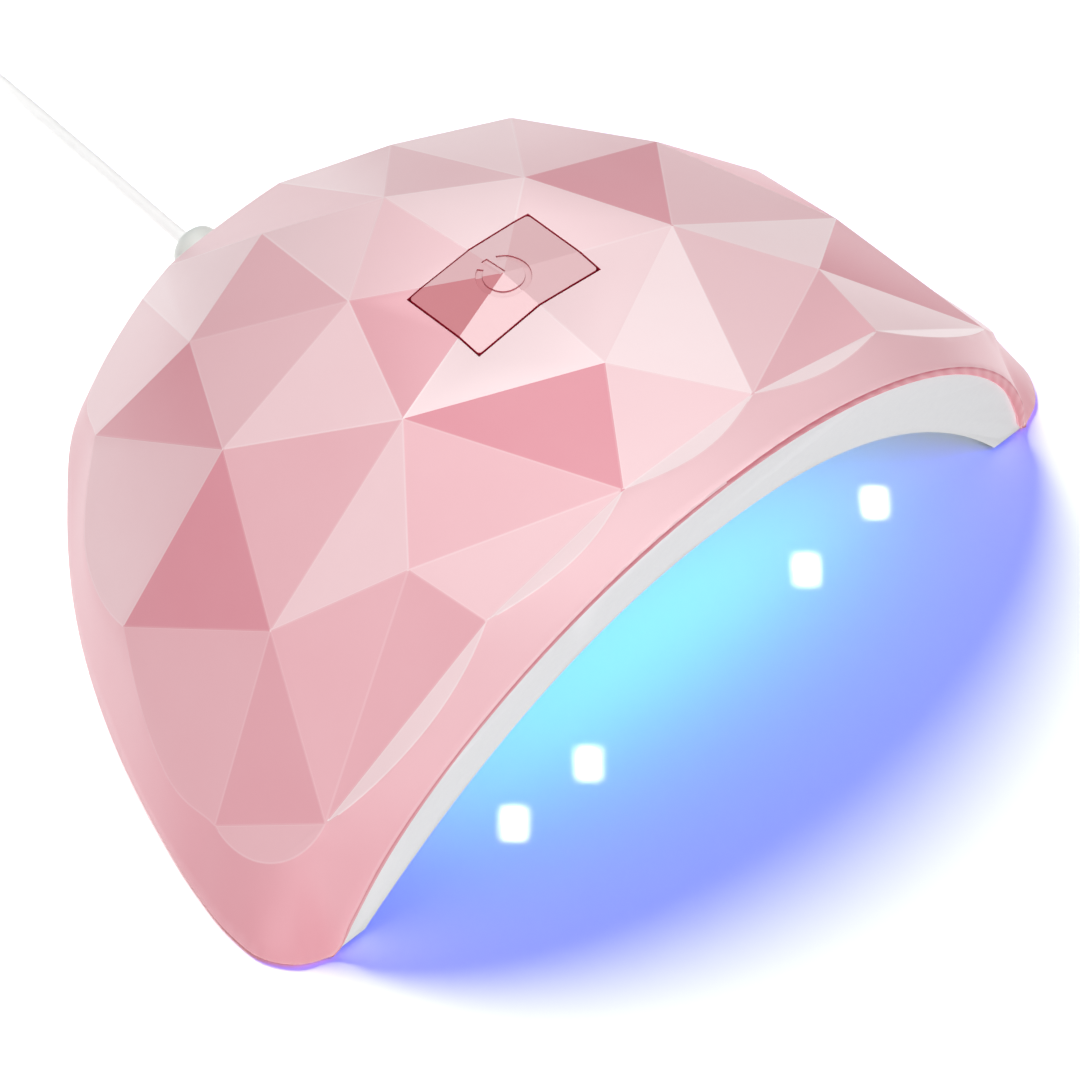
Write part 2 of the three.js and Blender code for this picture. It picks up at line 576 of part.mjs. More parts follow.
// The free cord sinks from the bush to the table and runs straight back to the coil, and a short tail joins the plug.
const floorZ = CORD.diameter / 2 + 0.02;
const exitY = GROMMET.outer + SEAT.y + GAP;
const exitZ = GROMMET.z + SEAT.z;
const coilEdge = COIL.x + COIL.outerTurn;
const FREE_ROUTE = [
  [0, exitY, exitZ], [0.1, exitY + 4, exitZ - 0.3], [0.4, exitY + 9, exitZ - 0.75], [0.8, exitY + 15, exitZ - 1.3],
  [1.2, exitY + 21.4, exitZ - 1.9], [1.6, exitY + 28.4, exitZ - 2.5], [2, exitY + 35.4, exitZ - 3.15],
  [2.4, exitY + 42, exitZ - 3.75], [2.7, exitY + 48.4, floorZ + 0.35], [coilEdge, COIL.y - 18, floorZ + 0.02],
  [coilEdge, COIL.y - 10.2, floorZ],
];
const TAIL_ROUTE = [
  [COIL.x - 10.2, COIL.y + COIL.outerTurn, 7.3], [COIL.x - 13.5, COIL.y + COIL.outerTurn - 0.5, 5.9],
  [COIL.x - 16.3, PLUG.y + 0.4, 4.5], [PLUG.x + 1.5, PLUG.y, PLUG.z], [PLUG.x + GAP, PLUG.y, PLUG.z],
];
add('power_cord', tube(FREE_ROUTE, CORD.diameter / 2, CORD.sides, 13), CORD_WHITE(), lamp);
add('cord_tail', tube(TAIL_ROUTE, CORD.diameter / 2, CORD.sides, 6), CORD_WHITE(), lamp);

function coilRing() {
  const { innerRadius, outerRadius, bottom, top, corner } = COIL;
  const profile = [[innerRadius + corner, bottom], [outerRadius - corner, bottom], [outerRadius, bottom + corner],
    [outerRadius, top - corner], [outerRadius - corner, top], [innerRadius + corner, top],
    [innerRadius, top - corner], [innerRadius, bottom + corner], [innerRadius + corner, bottom]]
    .map(([r, z]) => new THREE.Vector2(r, z));
  return new THREE.LatheGeometry(profile, 40).rotateX(Math.PI / 2).translate(COIL.x, COIL.y, 0);
}

function cordTie() {
  const middle = COIL.x - (COIL.innerRadius + COIL.outerRadius) / 2;
  const half = (COIL.outerRadius - COIL.innerRadius) / 2 + 0.5;
  const band = (grow, under, width) => toManifold(box([middle - half - grow, COIL.y - width, COIL.bottom - GAP - under],
    [middle + half + grow, COIL.y + width, COIL.top + GAP + grow]));
  return band(TIE.thickness, TIE.underside, TIE.width / 2).subtract(band(0, 0, TIE.width));
}

add('cord_coil', coilRing(), CORD_WHITE(), lamp);
add('cord_tie', toGeometry(cordTie()), paint(0xd8d8d8, 0.6), lamp);

// ---------- USB plug ----------
// Its blade end points to -X.
const alongX = (geometry, endX) => geometry.rotateY(-Math.PI / 2).translate(endX, PLUG.y, PLUG.z);

function plugShell() {
  const [length, width, height] = PLUG.shell;
  const wall = 0.4;
  const outside = roundedPlate(height / 2, width / 2, 0.6, 0, length);
  const hollow = box([wall - height / 2, wall - width / 2, 1.2], [height / 2 - wall, width / 2 - wall, length + 1]);
  return toManifold(outside).subtract(toManifold(hollow));
}

const [bodyLength, bodyWidth, bodyHeight] = PLUG.body;
const shellX = PLUG.x - bodyLength - GAP;
add('usb_plug_body', alongX(roundedPlate(bodyHeight / 2, bodyWidth / 2, 1.6, 0, bodyLength), PLUG.x), CORD_WHITE(),
  lamp);
add('usb_plug_shell', alongX(toGeometry(plugShell()), shellX), STEEL(), lamp);
add('usb_tongue', alongX(box([-1.3, -5.1, 1.5], [0.3, 5.1, 10.6]), shellX), paint(0xf4f4f4, 0.5), lamp);

export default lamp;
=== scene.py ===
"""UV LED nail lamp: the looks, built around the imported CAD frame.

Lengths are in millimetres until a mesh is made.
"""
import math

import bmesh
import bpy
from mathutils import Matrix, Vector


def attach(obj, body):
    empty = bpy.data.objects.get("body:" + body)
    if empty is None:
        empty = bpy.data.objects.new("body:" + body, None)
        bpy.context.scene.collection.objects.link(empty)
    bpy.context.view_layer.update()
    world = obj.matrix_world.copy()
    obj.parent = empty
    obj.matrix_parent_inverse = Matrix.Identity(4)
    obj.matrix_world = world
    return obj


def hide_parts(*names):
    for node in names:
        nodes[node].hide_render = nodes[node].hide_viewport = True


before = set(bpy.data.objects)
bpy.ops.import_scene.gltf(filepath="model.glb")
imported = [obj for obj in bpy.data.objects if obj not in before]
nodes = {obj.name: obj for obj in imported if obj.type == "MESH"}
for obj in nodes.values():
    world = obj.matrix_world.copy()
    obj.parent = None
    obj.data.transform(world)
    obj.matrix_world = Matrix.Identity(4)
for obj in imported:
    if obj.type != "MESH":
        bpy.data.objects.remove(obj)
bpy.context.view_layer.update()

MM = 0.001
# Housing coordinates start under the push button, at the shell's bottom edge. SEAT puts them on the table.
SEAT = Vector((0, -12, 1))
TABLE = Vector((0, 0, 0))
PLAN_CENTRE = Vector((0, 12, 0))


def link(name, data):
    """A new object in the scene."""
    made = bpy.data.objects.new(name, data)
    bpy.context.scene.collection.objects.link(made)
    return made


# ---------- camera ----------
CAMERA_PLACE = Vector((-414.6, -450.05, 779.55))
CAMERA_AZIMUTH = math.radians(43.19)
CAMERA_ELEVATION = math.radians(52)
CAMERA_LENS = 198.2


def make_camera():
    flat = math.cos(CAMERA_ELEVATION)
    back = Vector((-math.sin(CAMERA_AZIMUTH) * flat, -math.cos(CAMERA_AZIMUTH) * flat,
                   math.sin(CAMERA_ELEVATION)))
    right = (-back).cross(Vector((0, 0, 1))).normalized()
    up = back.cross(right)
    data = bpy.data.cameras.new("camera")
    data.sensor_width = 36
    data.lens = CAMERA_LENS
    data.clip_start = 0.05
    data.clip_end = 20
    camera = link("camera", data)
    place = (CAMERA_PLACE + SEAT) * MM
    camera.matrix_world = Matrix.Translation(place) @ Matrix((right, up, back)).transposed().to_4x4()
    bpy.context.scene.camera = camera


make_camera()


# ---------- cord ----------
# Table coordinates, in millimetres. The cord leaves the bush, sinks to the table and runs back to a coil.
CORD_DIAMETER = 2.4
FLOOR_Z = 1.22
COIL_X, COIL_Y = -13.9, 142
TURN_RADII = (16.8, 14.4, 12.0)
COIL_LAYERS = 4
COIL_BOTTOM = 1.5
TURN_STEPS = 24
CROSSING = 0.2
PLUG_X, PLUG_Y, PLUG_Z = -33, 157, 4
FREE_ROUTE = [
    (0, 67.8, 5.9), (0, 68.6, 5.9), (0.1, 72.6, 5.6), (0.4, 77.6, 5.15), (0.8, 83.6, 4.6), (1.2, 90, 4),
    (1.6, 97, 3.4), (2, 104, 2.75), (2.4, 110.6, 2.15), (2.7, 117, 1.57), (2.9, 124, 1.24),
    (2.9, 129, FLOOR_Z), (2.9, 133, 1.3), (2.9, 136.5, 1.42), (2.9, 139.5, COIL_BOTTOM),
]
TAIL_ROUTE = [
    (-16.9, 158.8, 8.6), (-20, 158.8, 8.3), (-23, 158.8, 7.6), (-25.6, 158.6, 6.7), (-28, 158.1, 5.6),
    (-30.2, 157.5, 4.6), (-31.8, 157.1, 4.1), (-33.6, 157, 4),
]


def coil_route():
    """Turns beside and on each other. Layers wind inward, then outward, and each turn crosses at its end."""
    turns = []
    for layer in range(COIL_LAYERS):
        radii = TURN_RADII if layer % 2 == 0 else TURN_RADII[::-1]
        turns += [(radius, COIL_BOTTOM + CORD_DIAMETER * layer) for radius in radii]
    turns.append(turns[-1])
    points = []
    for step in range(len(turns[:-1]) * TURN_STEPS + TURN_STEPS // 4 + 1):
        turn, part = divmod(step, TURN_STEPS)
        share = max(0, (part / TURN_STEPS - 1 + CROSSING) / CROSSING)
        share = share * share * (3 - 2 * share)
        (radius, height), (next_radius, next_height) = turns[turn], turns[min(turn + 1, len(turns) - 1)]
        radius += (next_radius - radius) * share
        angle = 2 * math.pi * part / TURN_STEPS
        points.append((COIL_X + radius * math.cos(angle), COIL_Y + radius * math.sin(angle),
                       height + (next_height - height) * share))
    return points


def make_cord():
    """The cord as a tube, and the line it follows."""
    data = bpy.data.curves.new("cord_line", "CURVE")
    data.dimensions = "3D"
    data.resolution_u = 3
    points = FREE_ROUTE + coil_route() + TAIL_ROUTE
    line = data.splines.new("NURBS")
    line.points.add(len(points) - 1)
    for point, place in zip(line.points, points):
        point.co = (*(Vector(place) * MM), 1)
    line.order_u = 4
    line.use_endpoint_u = True
    rail = link("cord_line", data)
    route = [v.co.copy() for v in rail.to_mesh().vertices]
    rail.to_mesh_clear()
    data.bevel_depth = CORD_DIAMETER / 2 * MM
    data.bevel_resolution = 3
    data.use_fill_caps = True
    bpy.context.view_layer.update()
    cord = link("lamp_cord", evaluated_mesh(rail))
    bpy.data.objects.remove(rail)
    smooth(cord)
    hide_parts("power_cord", "cord_coil", "cord_tail")
    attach(cord, "housing")
    return cord, route


# ---------- mesh helpers ----------
def evaluated_mesh(piece):
    graph = bpy.context.evaluated_depsgraph_get()
    return bpy.data.meshes.new_from_object(piece.evaluated_get(graph), depsgraph=graph)


def baked(piece):
    """The piece's mesh with its modifiers applied, and the modifiers removed."""
    mesh = evaluated_mesh(piece)
    piece.modifiers.clear()
    piece.data = mesh
    return piece


def cut(piece, tool, operation="DIFFERENCE"):
    step = piece.modifiers.new("cut", "BOOLEAN")
    step.operation = operation
    step.solver = "EXACT"
    step.object = tool
    baked(piece)
    bpy.data.objects.remove(tool)
    return piece


def from_bmesh(name, bm, seat=SEAT):
    """A piece from a bmesh in housing millimetres."""
    bmesh.ops.transform(bm, matrix=Matrix.Translation(seat), verts=bm.verts)
    bmesh.ops.scale(bm, vec=(MM, MM, MM), verts=bm.verts)
    mesh = bpy.data.meshes.new(name)
    bm.to_mesh(mesh)
    bm.free()
    return link(name, mesh)


def box_mesh(low, high):
    bm = bmesh.new()
    bmesh.ops.create_cube(bm, size=1)
    for v in bm.verts:
        v.co = Vector([low[i] if v.co[i] < 0 else high[i] for i in range(3)])
    return bm


def box_tool(low, high, seat=SEAT):
    return from_bmesh("tool", box_mesh(low, high), seat)


def bevel(piece, width, segments, angle, harden=True):
    step = piece.modifiers.new("bevel", "BEVEL")
    step.width = width * MM
    step.segments = segments
    step.limit_method = "ANGLE"
    step.angle_limit = math.radians(angle)
    step.harden_normals = harden
    return baked(piece)


def smooth(piece):
    for face in piece.data.polygons:
        face.use_smooth = True


def smooth_by_angle(piece, degrees):
    smooth(piece)
    piece.data.set_sharp_from_angle(angle=math.radians(degrees))


def join_rings(bm, rings):
    """A closed surface through rings that have as many points each."""
    for a, b in zip(rings, rings[1:]):
        for k in range(len(a)):
            n = (k + 1) % len(a)
            bm.faces.new((a[k], a[n], b[n], b[k]))
    bm.faces.new(rings[0])
    bm.faces.new(rings[-1])
    bmesh.ops.recalc_face_normals(bm, faces=bm.faces)


cord, cord_route = make_cord()


# ---------- the faceted dome ----------
# The rim band is ruled between an edge line and a wall line. Stations run from the middle of the front round
# the right leg to the middle of the rear: (edge point, wall point, outward bulge).
STATIONS = [
    ((0, -52.6, 61.5), (0, -42.1, 61.6), 0),
    ((14.5, -52.3, 60.2), (14, -42.1, 60.5), 0),
    ((29, -51.8, 56.1), (29.5, -41.8, 57.7), 0),
    ((41.5, -51.1, 50), (42.5, -41.6, 52.2), 0),
    ((57.5, -49.6, 37.6), (59.5, -39.8, 40.3), 0),
    ((70.2, -47.4, 21.2), (73.4, -37.8, 24.3), 0),
    ((76.2, -45.9, 8.3), (75.6, -36.5, 21), 0),
    ((79.1, -44.2, 0), (76.3, -35, 20), 0),
    ((83.5, -42.2, 0), (77, -33.3, 20), 0),
    ((87.3, -37, 0), (77.6, -30.5, 20), 0),
    ((87.9, -30.1, 0), (77.8, -26.5, 20), 0),
    ((86.4, -19.6, 0), (77.5, -19.6, 20), 0),
    ((83, -6.8, 0), (77.6, -6.7, 20), 0.2),
    ((75.7, 13.5, 0), (71.8, 13.3, 20), 0.2),
    ((65.2, 33.7, 0), (62.2, 32, 20), 0.2),
    ((50.9, 52.9, 0), (46.8, 48.6, 20), 0),
    ((38.6, 65.5, 0), (34, 60.3, 20), 0),
    ((22, 73.6, 0), (19.9, 66.9, 20), 0),
    ((11, 75.9, 0), (10.2, 69, 20), 0),
    ((0, 76.5, 0), (0, 69.5, 20), 0),
]
LEG_TIP = 7
REAR = len(STATIONS) - 1
EDGE = [Vector(row[0]) for row in STATIONS]
WALL = [Vector(row[1]) for row in STATIONS]
LIP_FOOT_Y = -44.6
LIP_LEAN = 0.1315

RIDGE = {"apex": (0, 0, 65), "back": (0, 28.3, 59.6), "front": (0, -23.2, 63.1)}
CORNERS = {
    "shoulder": (19.1, 15.6, 60.1), "brow": (29.2, -8.2, 60.3), "nape": (14.1, 42.5, 49.9),
    "hip": (35.4, 36.3, 45.4), "flank": (47.6, 14.2, 48.1), "cheek": (62.3, -13.3, 40.3),
    "temple": (44.7, -26.3, 52.6),
}
# Corners on the rim band: (station, share of the way from the edge line to the wall line).
RIM = {
    "lipMid": (1, 1), "lipSide": (3, 1), "lipLow": (5, 1), "legTop": (11, 0.615), "side": (13, 1.185),
    "haunch": (15, 1),
}
REAR_CORNER = {-1: (17.72, 0.93), 1: (17.88, 1.06)}
REAR_STEP = 17.1
# How the disc's arc is shared among its steps: above 1, the first ones lie close together.
ARC_PACE = 1.25
# A multiple of 3, so that one step falls on the leg's tip, a third of the way along the disc's stations.
DISC_STEPS = 30
STEPS_PER_STATION = 8
FRONT_SLIVER_SHARE = 0.66
BAND_REACH = 1.7
HALVINGS = 40

TRIANGLES = [
    ("apex", "shoulder", "back"), ("apex", "brow", "shoulder"), ("apex", "front", "brow"),
    ("shoulder", "flank", "hip"), ("shoulder", "hip", "nape"), ("shoulder", "nape", "back"),
    ("brow", "flank", "shoulder"), ("brow", "cheek", "flank"), ("brow", "temple", "cheek"),
    ("front", "lipMid", "brow"), ("brow", "lipMid", "temple"), ("lipMid", "lipSide", "temple"),
    ("temple", "lipSide", "lipLow"), ("cheek", "temple", "lipLow"), ("flank", "side", "cheek"),
    ("hip", "haunch", "flank"), ("cheek", "legTop", "lipLow"), ("back", "nape", "rear"),
]
# Facets that meet the band along an arc: (name, inner corners, the arc's ends, what else the facet's plane
# passes through: a band point for a sliver, the lowest point of a true circle for the disc on the leg).
DISC_LOW = (80.4, -32.1, 14.5)
ARC_FACETS = [
    ("lip_sliver", (), ("lipMid", "lipSide"), (2, 0.67)),
    ("cheek_sliver", (), ("lipSide", "lipLow"), (4, 0.6)),
    ("leg_disc", (), ("lipLow", "legTop"), DISC_LOW),
    ("low_cheek", ("cheek",), ("legTop", "side"), None),
    ("low_flank", ("flank",), ("side", "haunch"), None),
    ("low_hip", ("hip",), ("haunch", "step"), None),
    ("low_nape", ("hip", "nape"), ("step", "rear"), None),
]


def cardinal(points, u):
    """A point of the smooth line through the given points, mirrored past its two ends."""
    last = len(points) - 1

    def at(k):
        if k < 0:
            return points[-k] * Vector((-1, 1, 1))
        if k > last:
            return points[2 * last - k] * Vector((-1, 1, 1))
        return points[k]

    i = min(int(u), last - 1)
    t = u - i
    p0, p1, p2, p3 = at(i - 1), at(i), at(i + 1), at(i + 2)
    d0, d1, d2 = (p1 - p0).length, (p2 - p1).length, (p3 - p2).length
    m1 = ((p1 - p0) * d1 / d0 + (p2 - p1) * d0 / d1) * d1 / (d0 + d1)
    m2 = ((p2 - p1) * d2 / d1 + (p3 - p2) * d1 / d2) * d1 / (d1 + d2)
    return (p1 * (2 * t ** 3 - 3 * t ** 2 + 1) + m1 * (t ** 3 - 2 * t ** 2 + t)
            + p2 * (3 * t ** 2 - 2 * t ** 3) + m2 * (t ** 3 - t ** 2))


def band_point(u, s, side):
    """A point of the rim band at station u. The share s is 0 on the edge line and 1 on the wall line."""
    edge = cardinal(EDGE, u)
    wall = cardinal(WALL, u)
    i = min(int(u), REAR - 1)
    t = u - i
    t = t * t * (3 - 2 * t)
    bulge = STATIONS[i][2] * (1 - t) + STATIONS[i + 1][2] * t
    outward = edge - wall
    outward.z = 0
    point = edge * (1 - s) + wall * s + outward * bulge * s * (1 - s)
    point.x *= side
    return point


def plane_through(a, b, c):
    normal = (b - a).cross(c - a).normalized()
    return normal, normal.dot(a)


def band_meets(plane, u, side):
    """The share s at which a facet's plane meets the band at station u, found by bisection."""
    normal, offset = plane
    low, high = 0.0, BAND_REACH
    below = normal.dot(band_point(u, low, side)) < offset
    for _ in range(HALVINGS):
        middle = (low + high) / 2
        if (normal.dot(band_point(u, middle, side)) < offset) == below:
            low = middle
        else:
            high = middle
    return low


def circle_through(a, b, c):
    """Centre of the circle through three points, and the axis that turns a past b to c."""
    ab, ac = b - a, c - a
    axis = ab.cross(ac)
    toward = axis.cross(ab) * ac.length_squared + ac.cross(axis) * ab.length_squared
    return a + toward / (2 * axis.length_squared), axis.normalized()


def side_corners(side):
    flip = Vector((side, 1, 1))
    places = {name: Vector(p) for name, p in RIDGE.items()}
    places.update({name: Vector(p) * flip for name, p in CORNERS.items()})
    shares = dict(RIM, rear=REAR_CORNER[side])
    places.update({name: band_point(u, s, side) for name, (u, s) in shares.items()})
    rear_plane = plane_through(places["nape"], places["hip"], places["rear"])
    share = band_meets(rear_plane, REAR_STEP, side)
    shares["step"] = (REAR_STEP, share)
    places["step"] = band_point(REAR_STEP, share, side)
    return places, shares


def dome_faces():
    """Named flat facets, and each side's band columns (station, share, side, top) from front to rear."""
    facets = []
    columns = {}
    corners = {side: side_corners(side) for side in (-1, 1)}

    def arc(plane, start, end, side, steps=None):
        steps = steps or max(2, round(abs(end - start) * STEPS_PER_STATION))
        stations = [start + (end - start) * k / steps for k in range(steps + 1)]
        shares = [band_meets(plane, u, side) for u in stations]
        return [(u, share, side, band_point(u, share, side)) for u, share in zip(stations, shares)]

    def round_arc(run, start, low, end):
        """The same columns with their tops moved onto the circle through three points."""
        centre, axis = circle_through(start, low, end)
        spoke = start - centre
        sweep = spoke.angle(low - centre) + (low - centre).angle(end - centre)
        last = len(run) - 1
        moved = []
        for k, (u, share, side, _) in enumerate(run):
            turn = Matrix.Rotation(sweep * (k / last) ** ARC_PACE, 3, axis)
            moved.append((u, share, side, centre + turn @ spoke))
        return moved

    def point(column):
        return column[3]

    left, right = corners[-1][0], corners[1][0]
    front = plane_through(left["lipMid"], right["lipMid"], band_point(0, FRONT_SLIVER_SHARE, 1))
    rear = plane_through(left["back"], left["rear"], right["rear"])
    for side in (-1, 1):
        label = "left" if side < 0 else "right"
        places, shares = corners[side]
        for names in TRIANGLES:
            facets.append((label + "_" + "_".join(names), [places[n] for n in names]))
        run = arc(front, 0, 1, side)
        for name, inner, (start, end), through in ARC_FACETS:
            disc = name == "leg_disc"
            if disc:
                third = Vector(through) * Vector((side, 1, 1))
            else:
                third = band_point(*through, side) if through else places[inner[0]]
            plane = plane_through(places[start], places[end], third)
            steps = arc(plane, shares[start][0], shares[end][0], side, DISC_STEPS if disc else None)
            if disc:
                steps = round_arc(steps, places[start], third, places[end])
            steps[0] = (*shares[start], side, places[start])
            steps[-1] = (*shares[end], side, places[end])
            outline = [point(c) for c in steps] + [places[n] for n in reversed(inner)]
            facets.append((label + "_" + name, outline))
            run[-1] = steps[0]
            run += steps[1:]
        run += arc(rear, shares["rear"][0], REAR, side)[1:]
        columns[side] = run
    facets.append(("front_lip", [left["front"], left["lipMid"], right["lipMid"]]))

    def between(side, low, high):
        return [point(c) for c in columns[side] if low <= c[0] <= high]

    fronts = {side: between(side, 0, 1) for side in (-1, 1)}
    facets.append(("front_sliver", fronts[-1][::-1] + fronts[1][1:]))
    backs = {side: between(side, corners[side][1]["rear"][0], REAR) for side in (-1, 1)}
    facets.append(("rear", backs[-1] + backs[1][::-1][1:] + [left["back"]]))
    return facets, columns


FACETS, COLUMNS = dome_faces()
INSIDE = Vector((0, 12, 20))


# ---------- top shell ----------
BAND_PART, LIP_PART, INNER_PART, HOLE_PART, GROOVE_PART = 100, 101, 102, 103, 104
BAND_ROWS = 5
SHELL_INSET = 0.975
BUTTON_HALF = (13.1, 8.4)
CAP_BOTTOM, CAP_TOP = 58.2, 75
CORD_HOLE_RADIUS, CORD_HEIGHT = 3.5, 4.9
# Rounding of the edges: LIP_ROUND is the width at weight 1, and edges flatter than FLAT_ANGLE stay sharp.
LIP_ROUND = 1.0
CREASE_WEIGHT = 0.2
HOLE_EDGE_WEIGHT = 0.2
INNER_EDGE_WEIGHT = 0.3
LIP_EDGE_WEIGHT = 0.45
TABLE_EDGE_WEIGHT = 0.35
FLAT_ANGLE = math.radians(2.5)
LIP_TAPER = 0.6


def shrink(p, inset):
    return (p - PLAN_CENTRE) * inset + PLAN_CENTRE


def rim_inset(u, inset):
    """The lip narrows towards the leg's tip, and the white shell fills what it leaves."""
    tip = max(0, 1 - abs(u - LEG_TIP))
    return inset + (1 - inset) * LIP_TAPER * tip


class Skin:
    """Gathers faces that share vertices by place, each turned to face away from the dome's inside."""

    def __init__(self):
        self.bm = bmesh.new()
        self.part = self.bm.faces.layers.int.new("part")
        self.verts = {}

    def vert(self, p):
        key = (round(p.x, 3), round(p.y, 3), round(p.z, 3))
        if key not in self.verts:
            self.verts[key] = self.bm.verts.new(p)
        return self.verts[key]

    def face(self, points, part, away=True):
        ring = []
        for p in points:
            v = self.vert(p)
            if v not in ring:
                ring.append(v)
        if len(ring) < 3:
            return
        face = self.bm.faces.new(ring)
        face.normal_update()
        middle = face.calc_center_median() - INSIDE
        if (face.normal.dot(middle) < 0) == away:
            face.normal_flip()
        face[self.part] = part


def rim_inner(u, side, inset):
    """The rim face's inner edge: in the slanted front plane up to the leg's tip, then on the underside."""
    p = shrink(band_point(u, 0, side), rim_inset(u, inset))
    if u <= LEG_TIP:
        p.z = max(p.z, 0)
        p.y = LIP_FOOT_Y - LIP_LEAN * p.z
    if u >= LEG_TIP:
        p.z = 0
    return p


def shell_skin():
    skin = Skin()
    for index, (_, polygon) in enumerate(FACETS):
        skin.face(polygon, index)
        skin.face([shrink(p, SHELL_INSET) for p in polygon], INNER_PART, away=False)
    for side, run in COLUMNS.items():
        for before, after in zip(run, run[1:]):
            def row(column, k):
                u, share, _, top = column
                height = 1 - k / BAND_ROWS
                return band_point(u, share * height, side) + (top - band_point(u, share, side)) * height

            for k in range(BAND_ROWS):
                skin.face([row(before, k), row(after, k), row(after, k + 1), row(before, k + 1)], BAND_PART)
            inner = [rim_inner(c[0], side, SHELL_INSET) for c in (before, after)]
            tops = [shrink(c[3], SHELL_INSET) for c in (before, after)]
            skin.face([tops[0], tops[1], inner[1], inner[0]], INNER_PART, away=False)
            rims = [band_point(c[0], 0, side) for c in (before, after)]
            skin.face([rims[0], rims[1], inner[1], inner[0]], LIP_PART)
    return skin.bm


def cylinder_tool(radius, start, end, segments=48, seat=SEAT):
    """A cylinder between two points, in housing millimetres."""
    bm = bmesh.new()
    axis = Vector(end) - Vector(start)
    bmesh.ops.create_cone(bm, cap_ends=True, segments=segments, radius1=radius, radius2=radius,
                          depth=axis.length)
    turn = axis.to_track_quat("Z", "Y").to_matrix().to_4x4()
    middle = Matrix.Translation((Vector(start) + Vector(end)) / 2)
    bmesh.ops.transform(bm, matrix=middle @ turn, verts=bm.verts)
    return from_bmesh("tool", bm, seat)


def mark_part(piece, part):
    values = piece.data.attributes.new("part", "INT", "FACE")
    values.data.foreach_set("value", [part] * len(piece.data.polygons))
    return piece


def weigh_creases(piece):
    bm = bmesh.new()
    bm.from_mesh(piece.data)
    part = bm.faces.layers.int["part"]
    weight = bm.edges.layers.float.new("bevel_weight_edge")
    for edge in bm.edges:
        if len(edge.link_faces) != 2:
            continue
        kinds = sorted(f[part] for f in edge.link_faces)
        if kinds[0] == kinds[1]:
            continue
        if kinds[1] <= BAND_PART and edge.calc_face_angle(0) > FLAT_ANGLE:
            edge[weight] = CREASE_WEIGHT
        elif kinds == [BAND_PART, LIP_PART]:
            on_table = all(v.co.z < SEAT.z * MM * 1.01 for v in edge.verts)
            edge[weight] = TABLE_EDGE_WEIGHT if on_table else LIP_EDGE_WEIGHT
        elif kinds[0] < BAND_PART and kinds[1] == HOLE_PART:
            edge[weight] = HOLE_EDGE_WEIGHT
        elif kinds == [LIP_PART, INNER_PART]:
            edge[weight] = INNER_EDGE_WEIGHT
    bm.to_mesh(piece.data)
    bm.free()
    step = piece.modifiers.new("creases", "BEVEL")
    step.limit_method = "WEIGHT"
    step.width = LIP_ROUND * MM
    step.segments = 3
    # The rounding faces go to slot 1, so that they can be painted paler: a painted highlight on the creases.
    step.material = 1
    step.use_clamp_overlap = False
    step.harden_normals = True
    return baked(piece)


# Painted shade of each flat facet, left and right, from 0 (palest) to 1 (deepest): one pink, painted lighter
# or darker facet by facet as light and shade would make it.
FACET_SHADES = {
    "apex_shoulder_back": (0.38, 0.14), "apex_brow_shoulder": (0.74, 0.24),
    "apex_front_brow": (0.1, 0.18), "shoulder_flank_hip": (0.5, 0.32),
    "shoulder_hip_nape": (0.58, 0.16), "shoulder_nape_back": (0.24, 0.38),
    "brow_flank_shoulder": (0.32, 0.8), "brow_cheek_flank": (0.64, 0.42),
    "brow_temple_cheek": (0.34, 0.06), "front_lipMid_brow": (0.96, 0.04),
    "brow_lipMid_temple": (0.62, 0.38), "lipMid_lipSide_temple": (0.44, 0.6),
    "temple_lipSide_lipLow": (0.7, 0.18), "cheek_temple_lipLow": (0.66, 0.84),
    "flank_side_cheek": (0.92, 1.0), "hip_haunch_flank": (0.85, 0.5),
    "cheek_legTop_lipLow": (0.78, 0.3), "back_nape_rear": (0.4, 0.26), "low_cheek": (0.66, 0.3),
    "low_flank": (0.46, 0.3), "low_hip": (0.42, 0.3), "low_nape": (0.2, 0.3), "leg_disc": (0.58, 0.4),
    "lip_sliver": (0.1, 0.0), "cheek_sliver": (0.16, 0.0), "front_sliver": (0.0, 0.0),
    "front_lip": (0.34, 0.34), "rear": (0.5, 0.5),
}
# Tones above 1 run from the deepest pink to the crimson of the gaps: painted shade on the lip face, the
# groove walls and the gaps. The gaps also get a faint crimson emission, a painted glow where there is no
# lamp.
LIP_SHADE_TONE, GAP_SHADE_TONE = 1.5, 2.0
GAP_GLOW_COLOR, GAP_PAINTED_GLOW = (140, 20, 40), 0.15
# How much paler the faces that round a crease are painted: a painted highlight.
CREASE_HIGHLIGHT = 0.1
# The band's painted shade: its tone at the top, how much darker it is painted at the table, and the height
# (mm) over which it deepens.
BAND_PALEST, BAND_SHADE_DEEPENING, BAND_HEIGHT = 0.45, 0.45, 62
# Painted shade of the button cap's facets, lighter or darker facet by facet, where it differs from the
# shell's.
CAP_SHADES = {
    "left_apex_brow_shoulder": 0.9, "left_apex_front_brow": 0.36, "right_apex_front_brow": 0.28,
    "right_apex_brow_shoulder": 0.34, "left_apex_shoulder_back": 0.36, "right_apex_shoulder_back": 0.16,
}


def facet_shade(name):
    side, _, rest = name.partition("_")
    if name in FACET_SHADES:
        return FACET_SHADES[name][0]
    return FACET_SHADES[rest][side == "right"]


def band_shade(p):
    """Painted shade: the band is palest in the middle of the front and is painted darker down both legs,
    towards the table.
    """
    low = min(1, max(0, 1 - p.z / (BAND_HEIGHT * MM)))
    return BAND_PALEST + BAND_SHADE_DEEPENING * low


